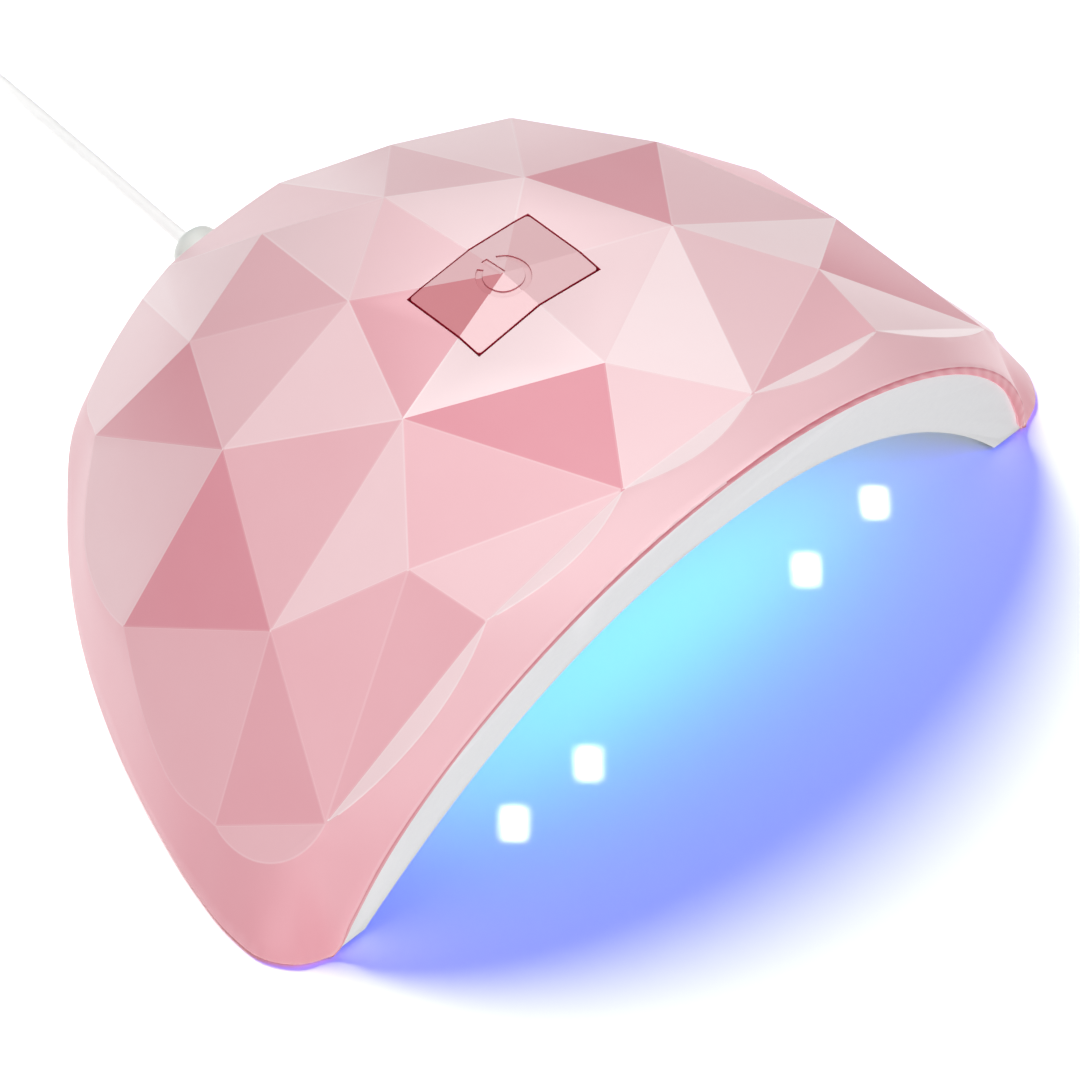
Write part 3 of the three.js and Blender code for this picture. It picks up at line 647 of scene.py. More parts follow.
def paint_shade_tones(piece, shade_tones=None):
    """Stores each face's painted shade tone, by which its pink is painted lighter or darker. The faces that
    round a crease are a little paler than those beside it, a painted highlight.
    """
    mesh = piece.data
    part = [v.value for v in mesh.attributes["part"].data]
    shade_tone = mesh.attributes.new("shade_tone", "FLOAT", "CORNER")
    facet = [(shade_tones or {}).get(name, facet_shade(name)) for name, _ in FACETS]
    # The lip face, the groove walls and the gaps get painted shade in deeper pinks and crimson; the shell's
    # inner faces get the deepest pink.
    other = {LIP_PART: LIP_SHADE_TONE, HOLE_PART: GAP_SHADE_TONE, GROOVE_PART: LIP_SHADE_TONE, INNER_PART: 1.0}
    for face in mesh.polygons:
        kind = part[face.index]
        # Faces that round a crease are painted paler: a painted highlight.
        highlight = CREASE_HIGHLIGHT if face.material_index == 1 else 0
        for loop in face.loop_indices:
            if kind < len(facet):
                value = facet[kind]
            elif kind == BAND_PART:
                value = band_shade(mesh.vertices[mesh.loops[loop].vertex_index].co)
            else:
                value = other[kind]
            shade_tone.data[loop].value = max(0, value - highlight)
        face.material_index = 0


def make_top_shell():
    shell = from_bmesh("shell_pink", shell_skin())
    bx, by = BUTTON_HALF
    cut(shell, mark_part(box_tool((-bx, -by, 50), (bx, by, CAP_TOP)), HOLE_PART))
    cord_hole = cylinder_tool(CORD_HOLE_RADIUS, (0, 60, CORD_HEIGHT), (0, 90, CORD_HEIGHT))
    cut(shell, mark_part(cord_hole, HOLE_PART))
    shell.data.materials.clear()
    for slot in ("face", "crease"):
        shell.data.materials.append(bpy.data.materials.new(slot))
    weigh_creases(shell)
    smooth(shell)
    paint_shade_tones(shell)
    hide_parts("top_shell")
    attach(shell, "housing")
    return shell


# ---------- solids the other pieces are cut with ----------
def dome_solid(inset, reach):
    """The closed dome inside the faceted skin. Reach moves its rim out past the open front and bottom."""
    skin = Skin()
    for _, polygon in FACETS:
        skin.face([shrink(p, inset) for p in polygon], 0)

    def rim(column):
        u, _, side, _ = column
        p = shrink(band_point(u, 0, side), rim_inset(u, inset))
        if u <= LEG_TIP:
            p.y -= reach
        if u >= LEG_TIP:
            p.z -= reach
        return p

    def top(column):
        return shrink(column[3], inset)

    for run in COLUMNS.values():
        for before, after in zip(run, run[1:]):
            skin.face([top(before), rim(before), rim(after)], 0)
            skin.face([top(before), rim(after), top(after)], 0)

    def loop(low, high):
        halves = [[rim(c) for c in COLUMNS[side] if low <= c[0] <= high] for side in (-1, 1)]
        return halves[0] + halves[1][::-1]

    skin.face(loop(0, LEG_TIP), 0)
    skin.face(loop(LEG_TIP, REAR), 0)
    return from_bmesh("tool", skin.bm)


CAVITY_WIDTH, CAVITY_HEIGHT, CAVITY_POWER = 71.5, 46.5, 2.2
CAVITY_STRAIGHT, CAVITY_TAPER, CAVITY_FRONT, CAVITY_REAR = -15, 73, -58, 57
# How far the arch's feet move out when the cavity grows by 1.
FOOT_SPREAD = 1.22
ARCH_STEPS, REAR_STEPS = 72, 24


def cavity_share(y):
    back = max(0, (y - CAVITY_STRAIGHT) / CAVITY_TAPER)
    return math.sqrt(1 - back ** 2)


def arch_height(x, share, grow=0):
    half_width = CAVITY_WIDTH * share + FOOT_SPREAD * grow
    return (CAVITY_HEIGHT * share + grow) * (1 - min(1, abs(x) / half_width) ** CAVITY_POWER)


def cavity_solid(grow, floor):
    """The hand space grown by a wall's thickness: an arch that runs straight back and then closes down."""
    bm = bmesh.new()
    sections = [CAVITY_FRONT, CAVITY_STRAIGHT]
    sections += [CAVITY_STRAIGHT + (CAVITY_REAR - CAVITY_STRAIGHT) * math.sin(k / REAR_STEPS * math.pi / 2)
                 for k in range(1, REAR_STEPS + 1)]
    rings = []
    for y in sections:
        share = cavity_share(y)
        half_width = CAVITY_WIDTH * share + FOOT_SPREAD * grow
        place = y + grow * max(0, y) / CAVITY_REAR
        ring = []
        for k in range(ARCH_STEPS + 1):
            x = -half_width * math.cos(math.pi * k / ARCH_STEPS)
            ring.append(bm.verts.new((x, place, arch_height(x, share, grow))))
        ring += [bm.verts.new((v.co.x, place, floor)) for v in (ring[-1], ring[0])]
        rings.append(ring)
    join_rings(bm, rings)
    return from_bmesh("tool", bm)


def wall_pose(x, y):
    """Where a lamp sits on the hand space's wall, its +Z pointing out of the hand space."""
    share = cavity_share(y)
    across = abs(x) / (CAVITY_WIDTH * share)
    rate = CAVITY_HEIGHT * CAVITY_POWER * across ** (CAVITY_POWER - 1) / CAVITY_WIDTH
    lean = math.atan(rate) * (1 if x > 0 else -1)
    return Matrix.Translation((x, y, arch_height(x, share))) @ Matrix.Rotation(lean, 4, "Y")


def rounded_outline(centre, half, corner, steps=6):
    """Points of a rectangle with round corners, each corner in so many steps."""
    points = []
    for quarter, (sx, sy) in enumerate(((1, 1), (-1, 1), (-1, -1), (1, -1))):
        for k in range(steps + 1):
            angle = (quarter + k / steps) * math.pi / 2
            points.append((centre[0] + (half[0] - corner) * sx + corner * math.cos(angle),
                           centre[1] + (half[1] - corner) * sy + corner * math.sin(angle)))
    return points


def rounded_prism(half, corner, low, high, steps=5):
    bm = bmesh.new()
    ring = rounded_outline((0, 0), half, corner, steps)
    lower = [bm.verts.new((x, y, low)) for x, y in ring]
    upper = [bm.verts.new((x, y, high)) for x, y in ring]
    count = len(ring)
    for k in range(count):
        n = (k + 1) % count
        bm.faces.new((lower[k], lower[n], upper[n], upper[k]))
    bm.faces.new(upper)
    bm.faces.new(lower[::-1])
    return bm


def lathe(name, profile, turn=Matrix.Identity(4), place=(0, 0, 0), segments=48):
    """A turned piece from (radius, height) points along +Z, closed on the axis."""
    bm = bmesh.new()
    rings = []
    for radius, height in profile:
        if radius == 0:
            rings.append([bm.verts.new((0, 0, height))])
            continue
        rings.append([bm.verts.new((radius * math.cos(a), radius * math.sin(a), height))
                      for a in (2 * math.pi * k / segments for k in range(segments))])
    for a, b in zip(rings, rings[1:]):
        for k in range(segments):
            n = (k + 1) % segments
            corners = [a[k % len(a)], a[n % len(a)], b[n % len(b)], b[k % len(b)]]
            bm.faces.new(list(dict.fromkeys(corners)))
    bmesh.ops.recalc_face_normals(bm, faces=bm.faces)
    bmesh.ops.transform(bm, matrix=Matrix.Translation(place) @ turn, verts=bm.verts)
    return from_bmesh(name, bm)


# ---------- inner shell ----------
LINER_INSET, LINER_REACH, LINER_RECESS, LINER_WALL = 0.968, 4, 0.6, 1.8
SCREW_PLACES = [(79.3, -17), (16, 65.5)]
FOOT_PLACES = [(79.4, -31), (48, 46)]
LED_ROWS = (-32, 2)
LED_PLACES = (18, 38, 56)
WINDOW_HALF, WINDOW_CORNER, WINDOW_LOW, WINDOW_HIGH = (2.8, 2.8), 0.4, -3, 2.3
HEAD_POCKET_RADIUS, HEAD_POCKET_DEPTH = 2.5, 1
SCREW_HOLE_RADIUS, SCREW_HOLE_DEPTH = 1.4, 3
FOOT_POCKET_RADIUS, FOOT_POCKET_DEPTH = 3.8, 0.8
BUSH_POCKET = ((-4.9, 67.9, -1), (4.9, 90, 12))
# Past the whole lamp on every side.
FAR = 120


def both_sides(places):
    return [(side * x, y) for x, y in places for side in (-1, 1)]


def lamp_places():
    return both_sides([(x, y) for y in LED_ROWS for x in LED_PLACES])


def front_slab(recess, thickness):
    bm = bmesh.new()
    bmesh.ops.create_cube(bm, size=1)
    bmesh.ops.scale(bm, vec=(400, thickness, 400), verts=bm.verts)
    bmesh.ops.translate(bm, vec=(0, thickness / 2, 0), verts=bm.verts)
    lean = Matrix.Rotation(math.atan(LIP_LEAN), 4, "X")
    bmesh.ops.transform(bm, matrix=Matrix.Translation((0, LIP_FOOT_Y + recess, 0)) @ lean, verts=bm.verts)
    return from_bmesh("tool", bm)


def make_inner_shell():
    liner = cavity_solid(LINER_WALL, -2)
    liner.name = "shell_white"
    cut(liner, box_tool((-FAR, -FAR, 0), (FAR, FAR, LINER_WALL)), "UNION")
    cut(liner, front_slab(LINER_RECESS, LINER_WALL), "UNION")
    cut(liner, dome_solid(LINER_INSET, LINER_REACH), "INTERSECT")
    cut(liner, front_slab(LINER_RECESS, 200), "INTERSECT")
    cut(liner, box_tool((-FAR, -FAR, 0), (FAR, FAR, FAR)), "INTERSECT")
    cut(liner, cavity_solid(0, -3))
    for x, y in lamp_places():
        window = rounded_prism(WINDOW_HALF, WINDOW_CORNER, WINDOW_LOW, WINDOW_HIGH, 3)
        bmesh.ops.transform(window, matrix=wall_pose(x, y), verts=window.verts)
        cut(liner, from_bmesh("tool", window))
    for x, y in both_sides(SCREW_PLACES):
        cut(liner, cylinder_tool(HEAD_POCKET_RADIUS, (x, y, -1), (x, y, HEAD_POCKET_DEPTH)))
        cut(liner, cylinder_tool(SCREW_HOLE_RADIUS, (x, y, -1), (x, y, SCREW_HOLE_DEPTH), 24))
    for x, y in both_sides(FOOT_PLACES):
        cut(liner, cylinder_tool(FOOT_POCKET_RADIUS, (x, y, -1), (x, y, FOOT_POCKET_DEPTH)))
    cut(liner, box_tool(*BUSH_POCKET))
    bevel(liner, 0.35, 3, 50, False)
    smooth_by_angle(liner, 20)
    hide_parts("inner_shell")
    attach(liner, "housing")
    return liner


# ---------- push button ----------
SYMBOL = {
    "outer": 4.5, "inner": 3.4, "depth": 0.35, "gap": 26, "bar": (0.55, 0.2, 4.6), "low": 50, "high": 80,
}
BUTTON_PLAY, CAP_CORNER = 0.27, 0.6
FLANGE_HALF, FLANGE_CORNER, FLANGE_TOP = (14.5, 9.8), 1, 59
STEM_RADIUS, STEM_BOTTOM, STEM_TOP = 2.5, 57.3, 58.6


def symbol_tool():
    """A ring with a gap to the rear and a bar in the gap, tall enough to cut through the cap's top."""
    bm = bmesh.new()
    steps = 48
    inner, outer, low, high = (SYMBOL[key] for key in ("inner", "outer", "low", "high"))
    start = math.radians(90 + SYMBOL["gap"])
    sweep = math.radians(360 - 2 * SYMBOL["gap"])
    rows = []
    for k in range(steps + 1):
        angle = start + sweep * k / steps
        rows.append([bm.verts.new((r * math.cos(angle), r * math.sin(angle), z))
                     for r, z in ((inner, low), (outer, low), (outer, high), (inner, high))])
    join_rings(bm, rows)
    ring = from_bmesh("tool", bm)
    half, near, far = SYMBOL["bar"]
    return cut(ring, box_tool((-half, near, low), (half, far, high)), "UNION")


def make_button():
    half = (BUTTON_HALF[0] - BUTTON_PLAY, BUTTON_HALF[1] - BUTTON_PLAY)
    cap = from_bmesh("button_cap", rounded_prism(half, CAP_CORNER, CAP_BOTTOM, CAP_TOP))
    cap_skin = dome_solid(1, 0)
    mark_facets(cap_skin)
    mark_part(cap, HOLE_PART)
    cut(cap, cap_skin, "INTERSECT")
    groove = mark_part(symbol_tool(), GROOVE_PART)
    lowered = dome_solid(1, 0)
    mark_facets(lowered)
    lowered.location.z = -SYMBOL["depth"] * MM
    bpy.context.view_layer.update()
    cut(cap, cut(groove, lowered))
    bevel(cap, 0.16, 2, 7)
    flange = from_bmesh("tool", rounded_prism(FLANGE_HALF, FLANGE_CORNER, CAP_BOTTOM, FLANGE_TOP))
    stem = cylinder_tool(STEM_RADIUS, (0, 0, STEM_BOTTOM), (0, 0, STEM_TOP))
    cut(cut(cap, mark_part(flange, HOLE_PART), "UNION"), mark_part(stem, HOLE_PART), "UNION")
    smooth_by_angle(cap, 4)
    paint_shade_tones(cap, CAP_SHADES)
    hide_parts("power_button")
    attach(cap, "button")
    return cap


def mark_facets(piece):
    """Numbers a dome solid's faces as the shell's facets are, in the order they were made."""
    values = piece.data.attributes.get("part") or piece.data.attributes.new("part", "INT", "FACE")
    count = len(FACETS)
    values.data.foreach_set("value", [i if i < count else BAND_PART for i in range(len(piece.data.polygons))])


# ---------- materials ----------
BUMP_DEPTH = 0.00005
SPECK = 0.012


def node(tree, kind, **settings):
    """A new shader node with the named inputs set."""
    made = tree.nodes.new("ShaderNode" + kind)
    for key, value in settings.items():
        made.inputs[key.replace("_", " ")].default_value = value
    return made


def wire(tree, source, output, target, entry):
    tree.links.new(source.outputs[output], target.inputs[entry])


def multiply_add(tree, factor, extra=0.5):
    made = node(tree, "Math")
    made.operation = "MULTIPLY_ADD"
    made.inputs[1].default_value = factor
    made.inputs[2].default_value = extra
    return made


def material(name, color, roughness, **settings):
    made = bpy.data.materials.new(name)
    made.use_nodes = True
    shader = made.node_tree.nodes["Principled BSDF"]
    shader.inputs["Base Color"].default_value = (*linear(color), 1)
    shader.inputs["Roughness"].default_value = roughness
    for key, value in settings.items():
        shader.inputs[key.replace("_", " ")].default_value = value
    return made


def linear(color):
    return [(c / 255 / 12.92) if c < 11 else ((c / 255 + 0.055) / 1.055) ** 2.4 for c in color]


def bump(made, scale, strength):
    tree = made.node_tree
    shader = tree.nodes["Principled BSDF"]
    place = node(tree, "TexCoord")
    noise = node(tree, "TexNoise", Scale=scale, Detail=3)
    height = node(tree, "Bump", Strength=strength, Distance=BUMP_DEPTH)
    wire(tree, place, "Object", noise, "Vector")
    wire(tree, noise, "Fac", height, "Height")
    wire(tree, height, "Normal", shader, "Normal")
    return noise


def paint_shade_ramp(made, pale, deep, crimson):
    """Base colour by the painted shade tone: pale as if lit at 0, deep as if shaded at 1, crimson at 2, and
    slightly uneven all over.

    The crimson is painted shade in the gaps, which have tones above the lip's and also glow faintly: a
    painted glow.
    """
    tree = made.node_tree
    shade_tone = node(tree, "Attribute")
    shade_tone.attribute_name = "shade_tone"
    place = node(tree, "TexCoord")
    cloud = node(tree, "TexNoise", Scale=55, Detail=6)
    wire(tree, place, "Object", cloud, "Vector")
    uneven = multiply_add(tree, SPECK * 4, -SPECK * 2)
    wire(tree, cloud, "Fac", uneven, 0)
    total = multiply_add(tree, 0.5)
    wire(tree, shade_tone, "Fac", total, 0)
    wire(tree, uneven, "Value", total, 2)
    ramp = node(tree, "ValToRGB")
    stops = ramp.color_ramp.elements
    stops[0].color = (*linear(pale), 1)
    stops[1].color = (*linear(crimson), 1)
    stops.new(0.5).color = (*linear(deep), 1)
    wire(tree, total, "Value", ramp, "Fac")
    shader = tree.nodes["Principled BSDF"]
    wire(tree, ramp, "Color", shader, "Base Color")
    # A faint crimson emission in the gaps: a painted glow, not a lamp.
    depth = node(tree, "MapRange", From_Min=LIP_SHADE_TONE, From_Max=GAP_SHADE_TONE, To_Max=GAP_PAINTED_GLOW)
    wire(tree, shade_tone, "Fac", depth, "Value")
    shader.inputs["Emission Color"].default_value = (*linear(GAP_GLOW_COLOR), 1)
    wire(tree, depth, "Result", shader, "Emission Strength")


def mottled(name, pale, deep, scale, roughness, rise=0.1, **settings):
    """A finish whose colour, gloss and surface vary by one noise."""
    made = material(name, pale, roughness, **settings)
    noise = bump(made, scale, rise)
    tree = made.node_tree
    shader = tree.nodes["Principled BSDF"]
    mix = node(tree, "Mix")
    mix.data_type = "RGBA"
    mix.inputs["A"].default_value = (*linear(pale), 1)
    mix.inputs["B"].default_value = (*linear(deep), 1)
    wire(tree, noise, "Fac", mix, "Factor")
    wire(tree, mix, "Result", shader, "Base Color")
    gloss = node(tree, "MapRange", To_Min=roughness * 0.85, To_Max=min(1, roughness * 1.15))
    wire(tree, noise, "Fac", gloss, "Value")
    wire(tree, gloss, "Result", shader, "Roughness")
    return made


def white_plastic():
    return mottled("white_plastic", (236, 236, 238), (230, 230, 233), 900, 0.36, 0.05, Specular_IOR_Level=0.4)


def glow(name, color, strength):
    made = material(name, color, 0.2)
    shader = made.node_tree.nodes["Principled BSDF"]
    shader.inputs["Emission Color"].default_value = (*linear(color), 1)
    shader.inputs["Emission Strength"].default_value = strength
    return made


def button_acrylic():
    made = material("button_acrylic", (232, 185, 190), 0.22, Coat_Weight=0.4, Coat_Roughness=0.1)
    # Pale and deep pinks for the facets' painted light and shade, crimson for the painted shade in the gaps.
    paint_shade_ramp(made, (243, 214, 217), (207, 122, 130), (176, 46, 68))
    bump(made, 1500, 0.04)
    return made


def pink_plastic():
    made = material("pink_plastic", (240, 210, 215), 0.36, Specular_IOR_Level=0.4)
    # Pale and deep pinks for the facets' painted light and shade, crimson for the painted shade in the gaps.
    paint_shade_ramp(made, (251, 230, 232), (223, 143, 156), (162, 30, 54))
    bump(made, 2500, 0.1)
    return made


def dress(piece, made):
    piece.data.materials.clear()
    piece.data.materials.append(made)


shell = make_top_shell()
dress(shell, pink_plastic())
button = make_button()
dress(button, button_acrylic())
liner = make_inner_shell()
dress(liner, white_plastic())


# ---------- lamps ----------
LAMP_HALF, LAMP_CORNER, LAMP_FACE, LAMP_BACK = (2.5, 2.5), 0.35, -0.6, 1.6
LENS_RADIUS = 1.85


def make_lamp(index, x, y):
    """A square LED package: a white frame with a sloped dish and a clear dome over the chip."""
    bm = rounded_prism(LAMP_HALF, LAMP_CORNER, LAMP_FACE, LAMP_BACK, 3)
    bottom = min(bm.faces, key=lambda f: f.calc_center_median().z)
    bmesh.ops.inset_region(bm, faces=[bottom], thickness=0.45)
    bmesh.ops.translate(bm, vec=(0, 0, 0.35), verts=bottom.verts)
    bmesh.ops.inset_region(bm, faces=[bottom], thickness=0.2)
    bottom.material_index = 1
    flatten = Matrix.Translation((0, 0, -0.35)) @ Matrix.Scale(0.8, 4, (0, 0, 1))
    lens = bmesh.ops.create_uvsphere(bm, u_segments=24, v_segments=12, radius=LENS_RADIUS, matrix=flatten)
    for vert in lens["verts"]:
        for face in vert.link_faces:
            face.material_index = 2
            face.smooth = True
    bmesh.ops.transform(bm, matrix=wall_pose(x, y), verts=bm.verts)
    lamp = from_bmesh(f"lamp_{index:02d}", bm)
    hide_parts(f"uv_led_{index:02d}")
    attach(lamp, "housing")
    for made in LAMP_MATERIALS:
        lamp.data.materials.append(made)


LAMP_MATERIALS = [material("lamp_frame", (240, 240, 238), 0.35), glow("lamp_chip", (150, 170, 255), 6),
                  glow("lamp_dome", (205, 225, 255), 4)]
for number, (lamp_x, lamp_y) in enumerate(lamp_places(), 1):
    make_lamp(number, lamp_x, lamp_y)


# ---------- feet, screws and the cord's bush ----------
def make_foot(label, x, y):
    profile = [(0, -1), (2.7, -1), (3.15, -0.9), (3.42, -0.65), (3.5, -0.3)]
    profile += [(3.5, 0.42), (3.4, 0.5), (0, 0.5)]
    foot = lathe("pad_" + label, profile, place=(x, y, 0))
    smooth_by_angle(foot, 50)
    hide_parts("foot_" + label)
    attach(foot, "housing")
    dress(foot, RUBBER)


def make_screw(label, x, y):
    """A flat-headed screw with a cross recess, its head down in the underside's pocket."""
    profile = [(0, 0.1), (1.7, 0.1), (2.05, 0.18), (2.2, 0.36), (2.2, 0.7), (1.1, 0.75)]
    for k in range(12):
        profile += [(1.1, 1.2 + 0.5 * k), (0.85, 1.45 + 0.5 * k)]
    profile += [(0.85, 7.2), (0, 8)]
    screw = lathe("fixing_" + label, profile, place=(x, y, 0), segments=32)
    for long_x, long_y in ((1.2, 0.22), (0.22, 1.2)):
        cut(screw, box_tool((x - long_x, y - long_y, -0.5), (x + long_x, y + long_y, 0.5)))
    smooth_by_angle(screw, 35)
    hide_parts("screw_" + label)
    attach(screw, "housing")
    dress(screw, STEEL)


def make_bush():
    """A flanged bush held in the rear wall, with a rounded outer end that the cord leaves through."""
    profile = [(0, 68.9), (3.9, 68.9), (3.9, 70.3), (3.2, 70.4), (3.2, 73)]
    profile += [(4.35, 73.2), (4.6, 73.5), (4.6, 77.6)]
    profile += [(1.5 + 3.1 * math.cos(a), 77.6 + 2.7 * math.sin(a))
                for a in (math.radians(9 * k) for k in range(1, 11))]
    profile += [(1.15, 80.1), (1.0, 79.6), (0, 79.6)]
    bush = lathe("cord_bush", profile, Matrix.Rotation(-math.pi / 2, 4, "X"), (0, 0, CORD_HEIGHT))
    bevel(bush, 0.25, 2, 40)
    smooth_by_angle(bush, 40)
    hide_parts("cord_grommet")
    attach(bush, "housing")
    dress(bush, material("bush_frosted", (238, 243, 238), 0.3, Transmission_Weight=0.1, IOR=1.46))
    return bush


RUBBER = material("foot_rubber", (228, 228, 226), 0.8)
STEEL = material("screw_steel", (190, 193, 196), 0.3, Metallic=1.0)
bump(RUBBER, 900, 0.3)
bump(STEEL, 600, 0.05)
LABELS = ("front_left", "front_right", "rear_left", "rear_right")
for label, (spot_x, spot_y) in zip(LABELS, both_sides(FOOT_PLACES)):
    make_foot(label, spot_x, spot_y)
for label, (spot_x, spot_y) in zip(LABELS, both_sides(SCREW_PLACES)):
    make_screw(label, spot_x, spot_y)
bush = make_bush()


# ---------- the cord's tie and plug ----------
def prism(outline, start, end):
    """A straight prism of a closed outline of (x, z) points, from one y to another, in table coordinates."""
    bm = bmesh.new()
    join_rings(bm, [[bm.verts.new((x, y, z)) for x, z in outline] for y in (start, end)])
    return bm


def make_tie():
    """A woven strap round the coil, its end lapped over on top."""
    middle = COIL_X - (TURN_RADII[0] + TURN_RADII[-1]) / 2
    half_width, low, high = 4.0, 0.25, 10.2
    inner = rounded_outline((middle, (low + high) / 2), (half_width, (high - low) / 2), 1.6)
    outer = rounded_outline((middle, (high + 0.4) / 2), (half_width + 0.4, (high + 0.4) / 2), 1.9)
    strap = from_bmesh("coil_strap", prism(outer, COIL_Y - 1.5, COIL_Y + 1.5), TABLE)
    cut(strap, from_bmesh("tool", prism(inner, COIL_Y - 3, COIL_Y + 3), TABLE))
    lap = rounded_outline((middle + 0.8, high + 0.35), (2.6, 0.26), 0.2)
    cut(strap, from_bmesh("tool", prism(lap, COIL_Y - 1.4, COIL_Y + 1.4), TABLE), "UNION")
    bevel(strap, 0.12, 2, 50)
    smooth_by_angle(strap, 40)
    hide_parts("cord_tie")
    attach(strap, "housing")
    dress(strap, woven("strap_weave", (232, 232, 230), (205, 205, 203), 1600))
    return strap


def woven(name, pale, deep, scale):
    made = mottled(name, pale, deep, scale, 0.85, 0.2, Sheen_Weight=0.3)
    tree = made.node_tree
    threads = tree.nodes.new("ShaderNodeTexWave")
    threads.inputs["Scale"].default_value = scale
    height = next(n for n in tree.nodes if n.type == "BUMP")
    place = next(n for n in tree.nodes if n.type == "TEX_COORD")
    wire(tree, place, "Object", threads, "Vector")
    wire(tree, threads, "Fac", height, "Height")
    return made


PLUG_LENGTH, PLUG_WIDTH, PLUG_HEIGHT = 26, 15, 7.6
PLUG_GAP = 0.3


def make_plug_body():
    """A moulded grip whose blade end points to -X, with finger ribs and a tapered neck round the cord."""
    bm = bmesh.new()
    sections = [(0, 0.24), (0.6, 0.3), (3.5, 0.36), (5, 0.5), (6.5, 0.78), (8.5, 0.94), (11, 1)]
    sections += [(PLUG_LENGTH - 0.6, 1), (PLUG_LENGTH, 0.95)]
    rings = []
    for along, share in sections:
        half = (PLUG_WIDTH / 2 * share, PLUG_HEIGHT / 2 * max(share, 0.4))
        outline = rounded_outline((0, 0), half, min(half) * 0.55)
        rings.append([bm.verts.new((PLUG_X - along, PLUG_Y + a, PLUG_Z + b)) for a, b in outline])
    join_rings(bm, rings)
    body = from_bmesh("plug_grip", bm, TABLE)
    for along in (12.5, 14.5, 16.5, 18.5):
        for side in (-1, 1):
            y = PLUG_Y + side * PLUG_WIDTH / 2
            cut(body, cylinder_tool(0.5, (PLUG_X - along, y, -2), (PLUG_X - along, y, 10), 16, TABLE))
    bevel(body, 0.25, 2, 40)
    smooth_by_angle(body, 30)
    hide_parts("usb_plug_body")
    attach(body, "housing")
    dress(body, CORD_WHITE_GLOWING)
    return body


def make_plug_shell():
    """The folded metal sleeve of the plug, with its two square windows on each face."""
    base = PLUG_X - PLUG_LENGTH - PLUG_GAP
    sleeve = from_bmesh("plug_sleeve", box_mesh((base - 11.8, PLUG_Y - 6, PLUG_Z - 2.25),
                                                (base, PLUG_Y + 6, PLUG_Z + 2.25)), TABLE)
    bevel(sleeve, 0.5, 3, 40)
    cut(sleeve, box_tool((base - 13, PLUG_Y - 5.6, PLUG_Z - 1.85), (base - 1.2, PLUG_Y + 5.6, PLUG_Z + 1.85),
                         TABLE))
    for side in (-1, 1):
        y = PLUG_Y + side * 2.8
        cut(sleeve, box_tool((base - 7.4, y - 1.2, PLUG_Z - 4), (base - 5, y + 1.2, PLUG_Z + 4), TABLE))
    bevel(sleeve, 0.08, 2, 40)
    smooth_by_angle(sleeve, 35)
    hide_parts("usb_plug_shell")
    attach(sleeve, "housing")
    dress(sleeve, mottled("plug_steel", (206, 208, 211), (190, 192, 196), 700, 0.25, 0.03, Metallic=1.0))
    return sleeve


# The cord's white plastic with a faint emission that keeps it bright: a painted glow, not a lamp.
CORD_WHITE_GLOWING = mottled("cord_white_glowing", (248, 248, 247), (243, 243, 242), 1200, 0.45, 0.06,
                     Emission_Color=(1, 1, 1, 1), Emission_Strength=0.1)
cord.data.materials.append(CORD_WHITE_GLOWING)
tie = make_tie()
grip = make_plug_body()
sleeve = make_plug_shell()


# ---------- finishes of the parts kept from the CAD ----------
def finish_nodes():
    board = mottled("board_green", (22, 92, 62), (16, 74, 50), 350, 0.4, 0.1, Coat_Weight=0.3)
    pale_board = mottled("board_white", (232, 232, 228), (222, 222, 218), 400, 0.45, 0.08)
    black = mottled("component_black", (34, 35, 38), (26, 27, 29), 800, 0.55, 0.12)
    copper = mottled("inductor_drum", (58, 52, 50), (42, 38, 37), 500, 0.5, 0.2)
    cream = mottled("component_cream", (236, 230, 214), (226, 219, 202), 600, 0.5, 0.06)
    red = mottled("lead_red", (178, 38, 36), (160, 30, 30), 900, 0.45, 0.05)
    chosen = {
        "control_board": board, "led_board_left": pale_board, "led_board_right": pale_board,
        "timer_chip": black, "switch_body": black, "driver_inductor": copper, "capacitor": cream,
        "cord_socket": cream, "switch_plunger": cream, "usb_tongue": cream, "lamp_lead_left": red,
        "lamp_lead_right": red, "inner_cord_lead": CORD_WHITE_GLOWING,
    }
    for name, made in chosen.items():
        for place in nodes[name].material_slots:
            place.material = made


finish_nodes()


# ---------- floor and lights ----------
def make_stage():
    bpy.ops.mesh.primitive_plane_add(size=12)
    floor = bpy.context.object
    floor.name = "floor"
    dress(floor, material("floor", (250, 250, 250), 0.6, Specular_IOR_Level=0.1))
    floor.visible_diffuse = False
    floor.visible_glossy = False
    world = bpy.data.worlds.new("studio")
    bpy.context.scene.world = world
    world.use_nodes = True
    background = world.node_tree.nodes["Background"]
    background.inputs["Color"].default_value = (1, 1, 1, 1)
    background.inputs["Strength"].default_value = 0.17
    bpy.context.scene.view_settings.view_transform = "Standard"
    return floor


def area_light(name, place, target, size, power, color=(1, 1, 1), spread=180):
    """An area light aimed at a point. Places and sizes are in metres, and size is (width, height)."""
    data = bpy.data.lights.new(name, "AREA")
    data.shape = "ELLIPSE" if size[0] > 0.05 else "RECTANGLE"
    data.size, data.size_y = size
    data.energy = power
    data.color = color
    data.spread = math.radians(spread)
    light = link(name, data)
    light.location = place
    light.rotation_euler = (Vector(target) - Vector(place)).to_track_quat("-Z", "Y").to_euler()
    return light


def shines_on(light, pieces, only):
    """The light reaches these pieces alone, or everything but them."""
    group = bpy.data.collections.new(light.name + "_reach")
    for piece in pieces:
        group.objects.link(piece)
    light.light_linking.receiver_collection = group
    if not only:
        for member in group.collection_objects:
            member.light_linking.link_state = "EXCLUDE"


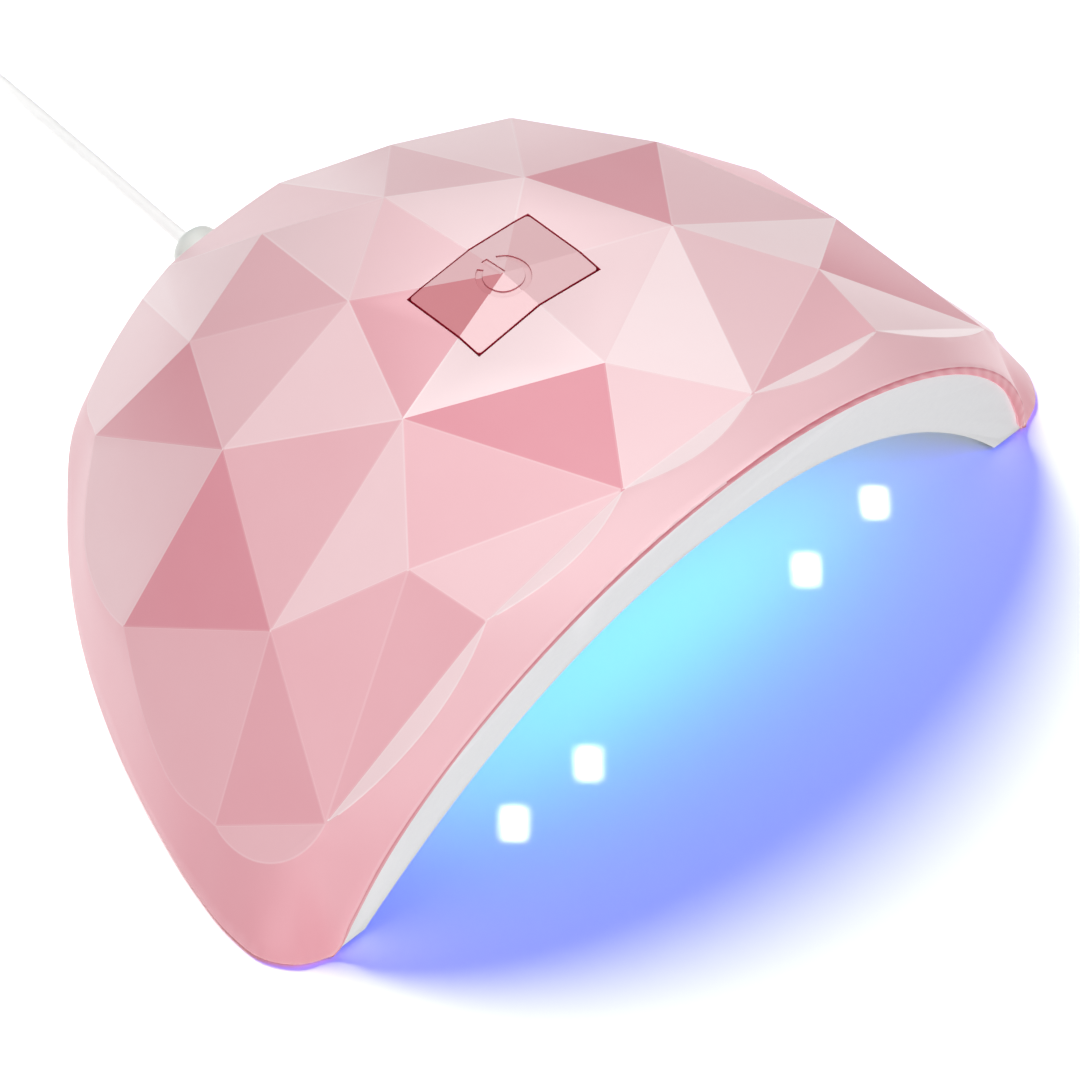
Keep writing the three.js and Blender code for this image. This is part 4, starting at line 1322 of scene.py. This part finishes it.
def casts_no_shadow(light, piece):
    """The piece doesn't block the light."""
    group = bpy.data.collections.new(light.name + "_passes")
    group.objects.link(piece)
    light.light_linking.blocker_collection = group
    group.collection_objects[0].light_linking.link_state = "EXCLUDE"


# Where the bright patches lie on the floor, in table millimetres, and each patch's size (metres) and turn.
SPOT_PLACES = ((-39.8, -56.7), (-22.9, -56.3), (30.7, -52.2), (49.1, -50.0))
SPOT_SIZE = (0.0037, 0.0062)
SPOT_TURN = math.atan2(-0.684, 0.729)


def make_lights(floor):
    """Studio lights for the object, and a pool of lights for the floor alone.

    The floor is hidden from diffuse and glossy rays, so floor_bounce stands in for what it reflects.
    """
    studio = [area_light("overhead", (0.08, 0.0, 1.1), (0, 0, 0), (1.2, 1.2), 10.9),
              area_light("left_fill", (-1.1, -0.4, 0.3), (0, 0, 0.03), (1.0, 0.8), 4.5),
              area_light("front_fill", (-0.2, -1.2, 0.25), (0, 0, 0.03), (1.0, 0.8), 3.5)]
    bounce = area_light("floor_bounce", (0, 0.1, -0.4), (0, 0.1, 0), (3, 3), 34)
    arch = area_light("arch_fill", (-0.3, -1.1, 0.12), (0, 0, 0.03), (0.6, 0.3), 7.5)
    pool = [area_light("floor_key", (0, 0.6, 1.0), (0, 0, 0), (0.62, 0.62), 23),
            area_light("lamp_violet", (0, -0.32, 0.4), (0, -0.07, 0), (0.3, 0.3), 2.6, (0.07, 0.1, 1)),
            area_light("lamp_cyan", (0, -0.042, 0.02), (0, -0.045, 0), (0.104, 0.02), 0.009, (0.05, 0.85, 1))]
    for number, (x, y) in enumerate(SPOT_PLACES):
        spot = area_light(f"lamp_spot_{number}", (x * MM, y * MM, 0.008), (x * MM, y * MM, 0), SPOT_SIZE,
                          1.5e-4, spread=24)
        spot.rotation_euler = (0, 0, SPOT_TURN)
        pool.append(spot)
    for light in studio:
        shines_on(light, [floor], False)
    for light in pool:
        shines_on(light, [floor], True)
        casts_no_shadow(light, cord)
    shines_on(bounce, [floor, liner], False)
    casts_no_shadow(bounce, floor)
    shines_on(arch, [liner], True)


make_lights(make_stage())
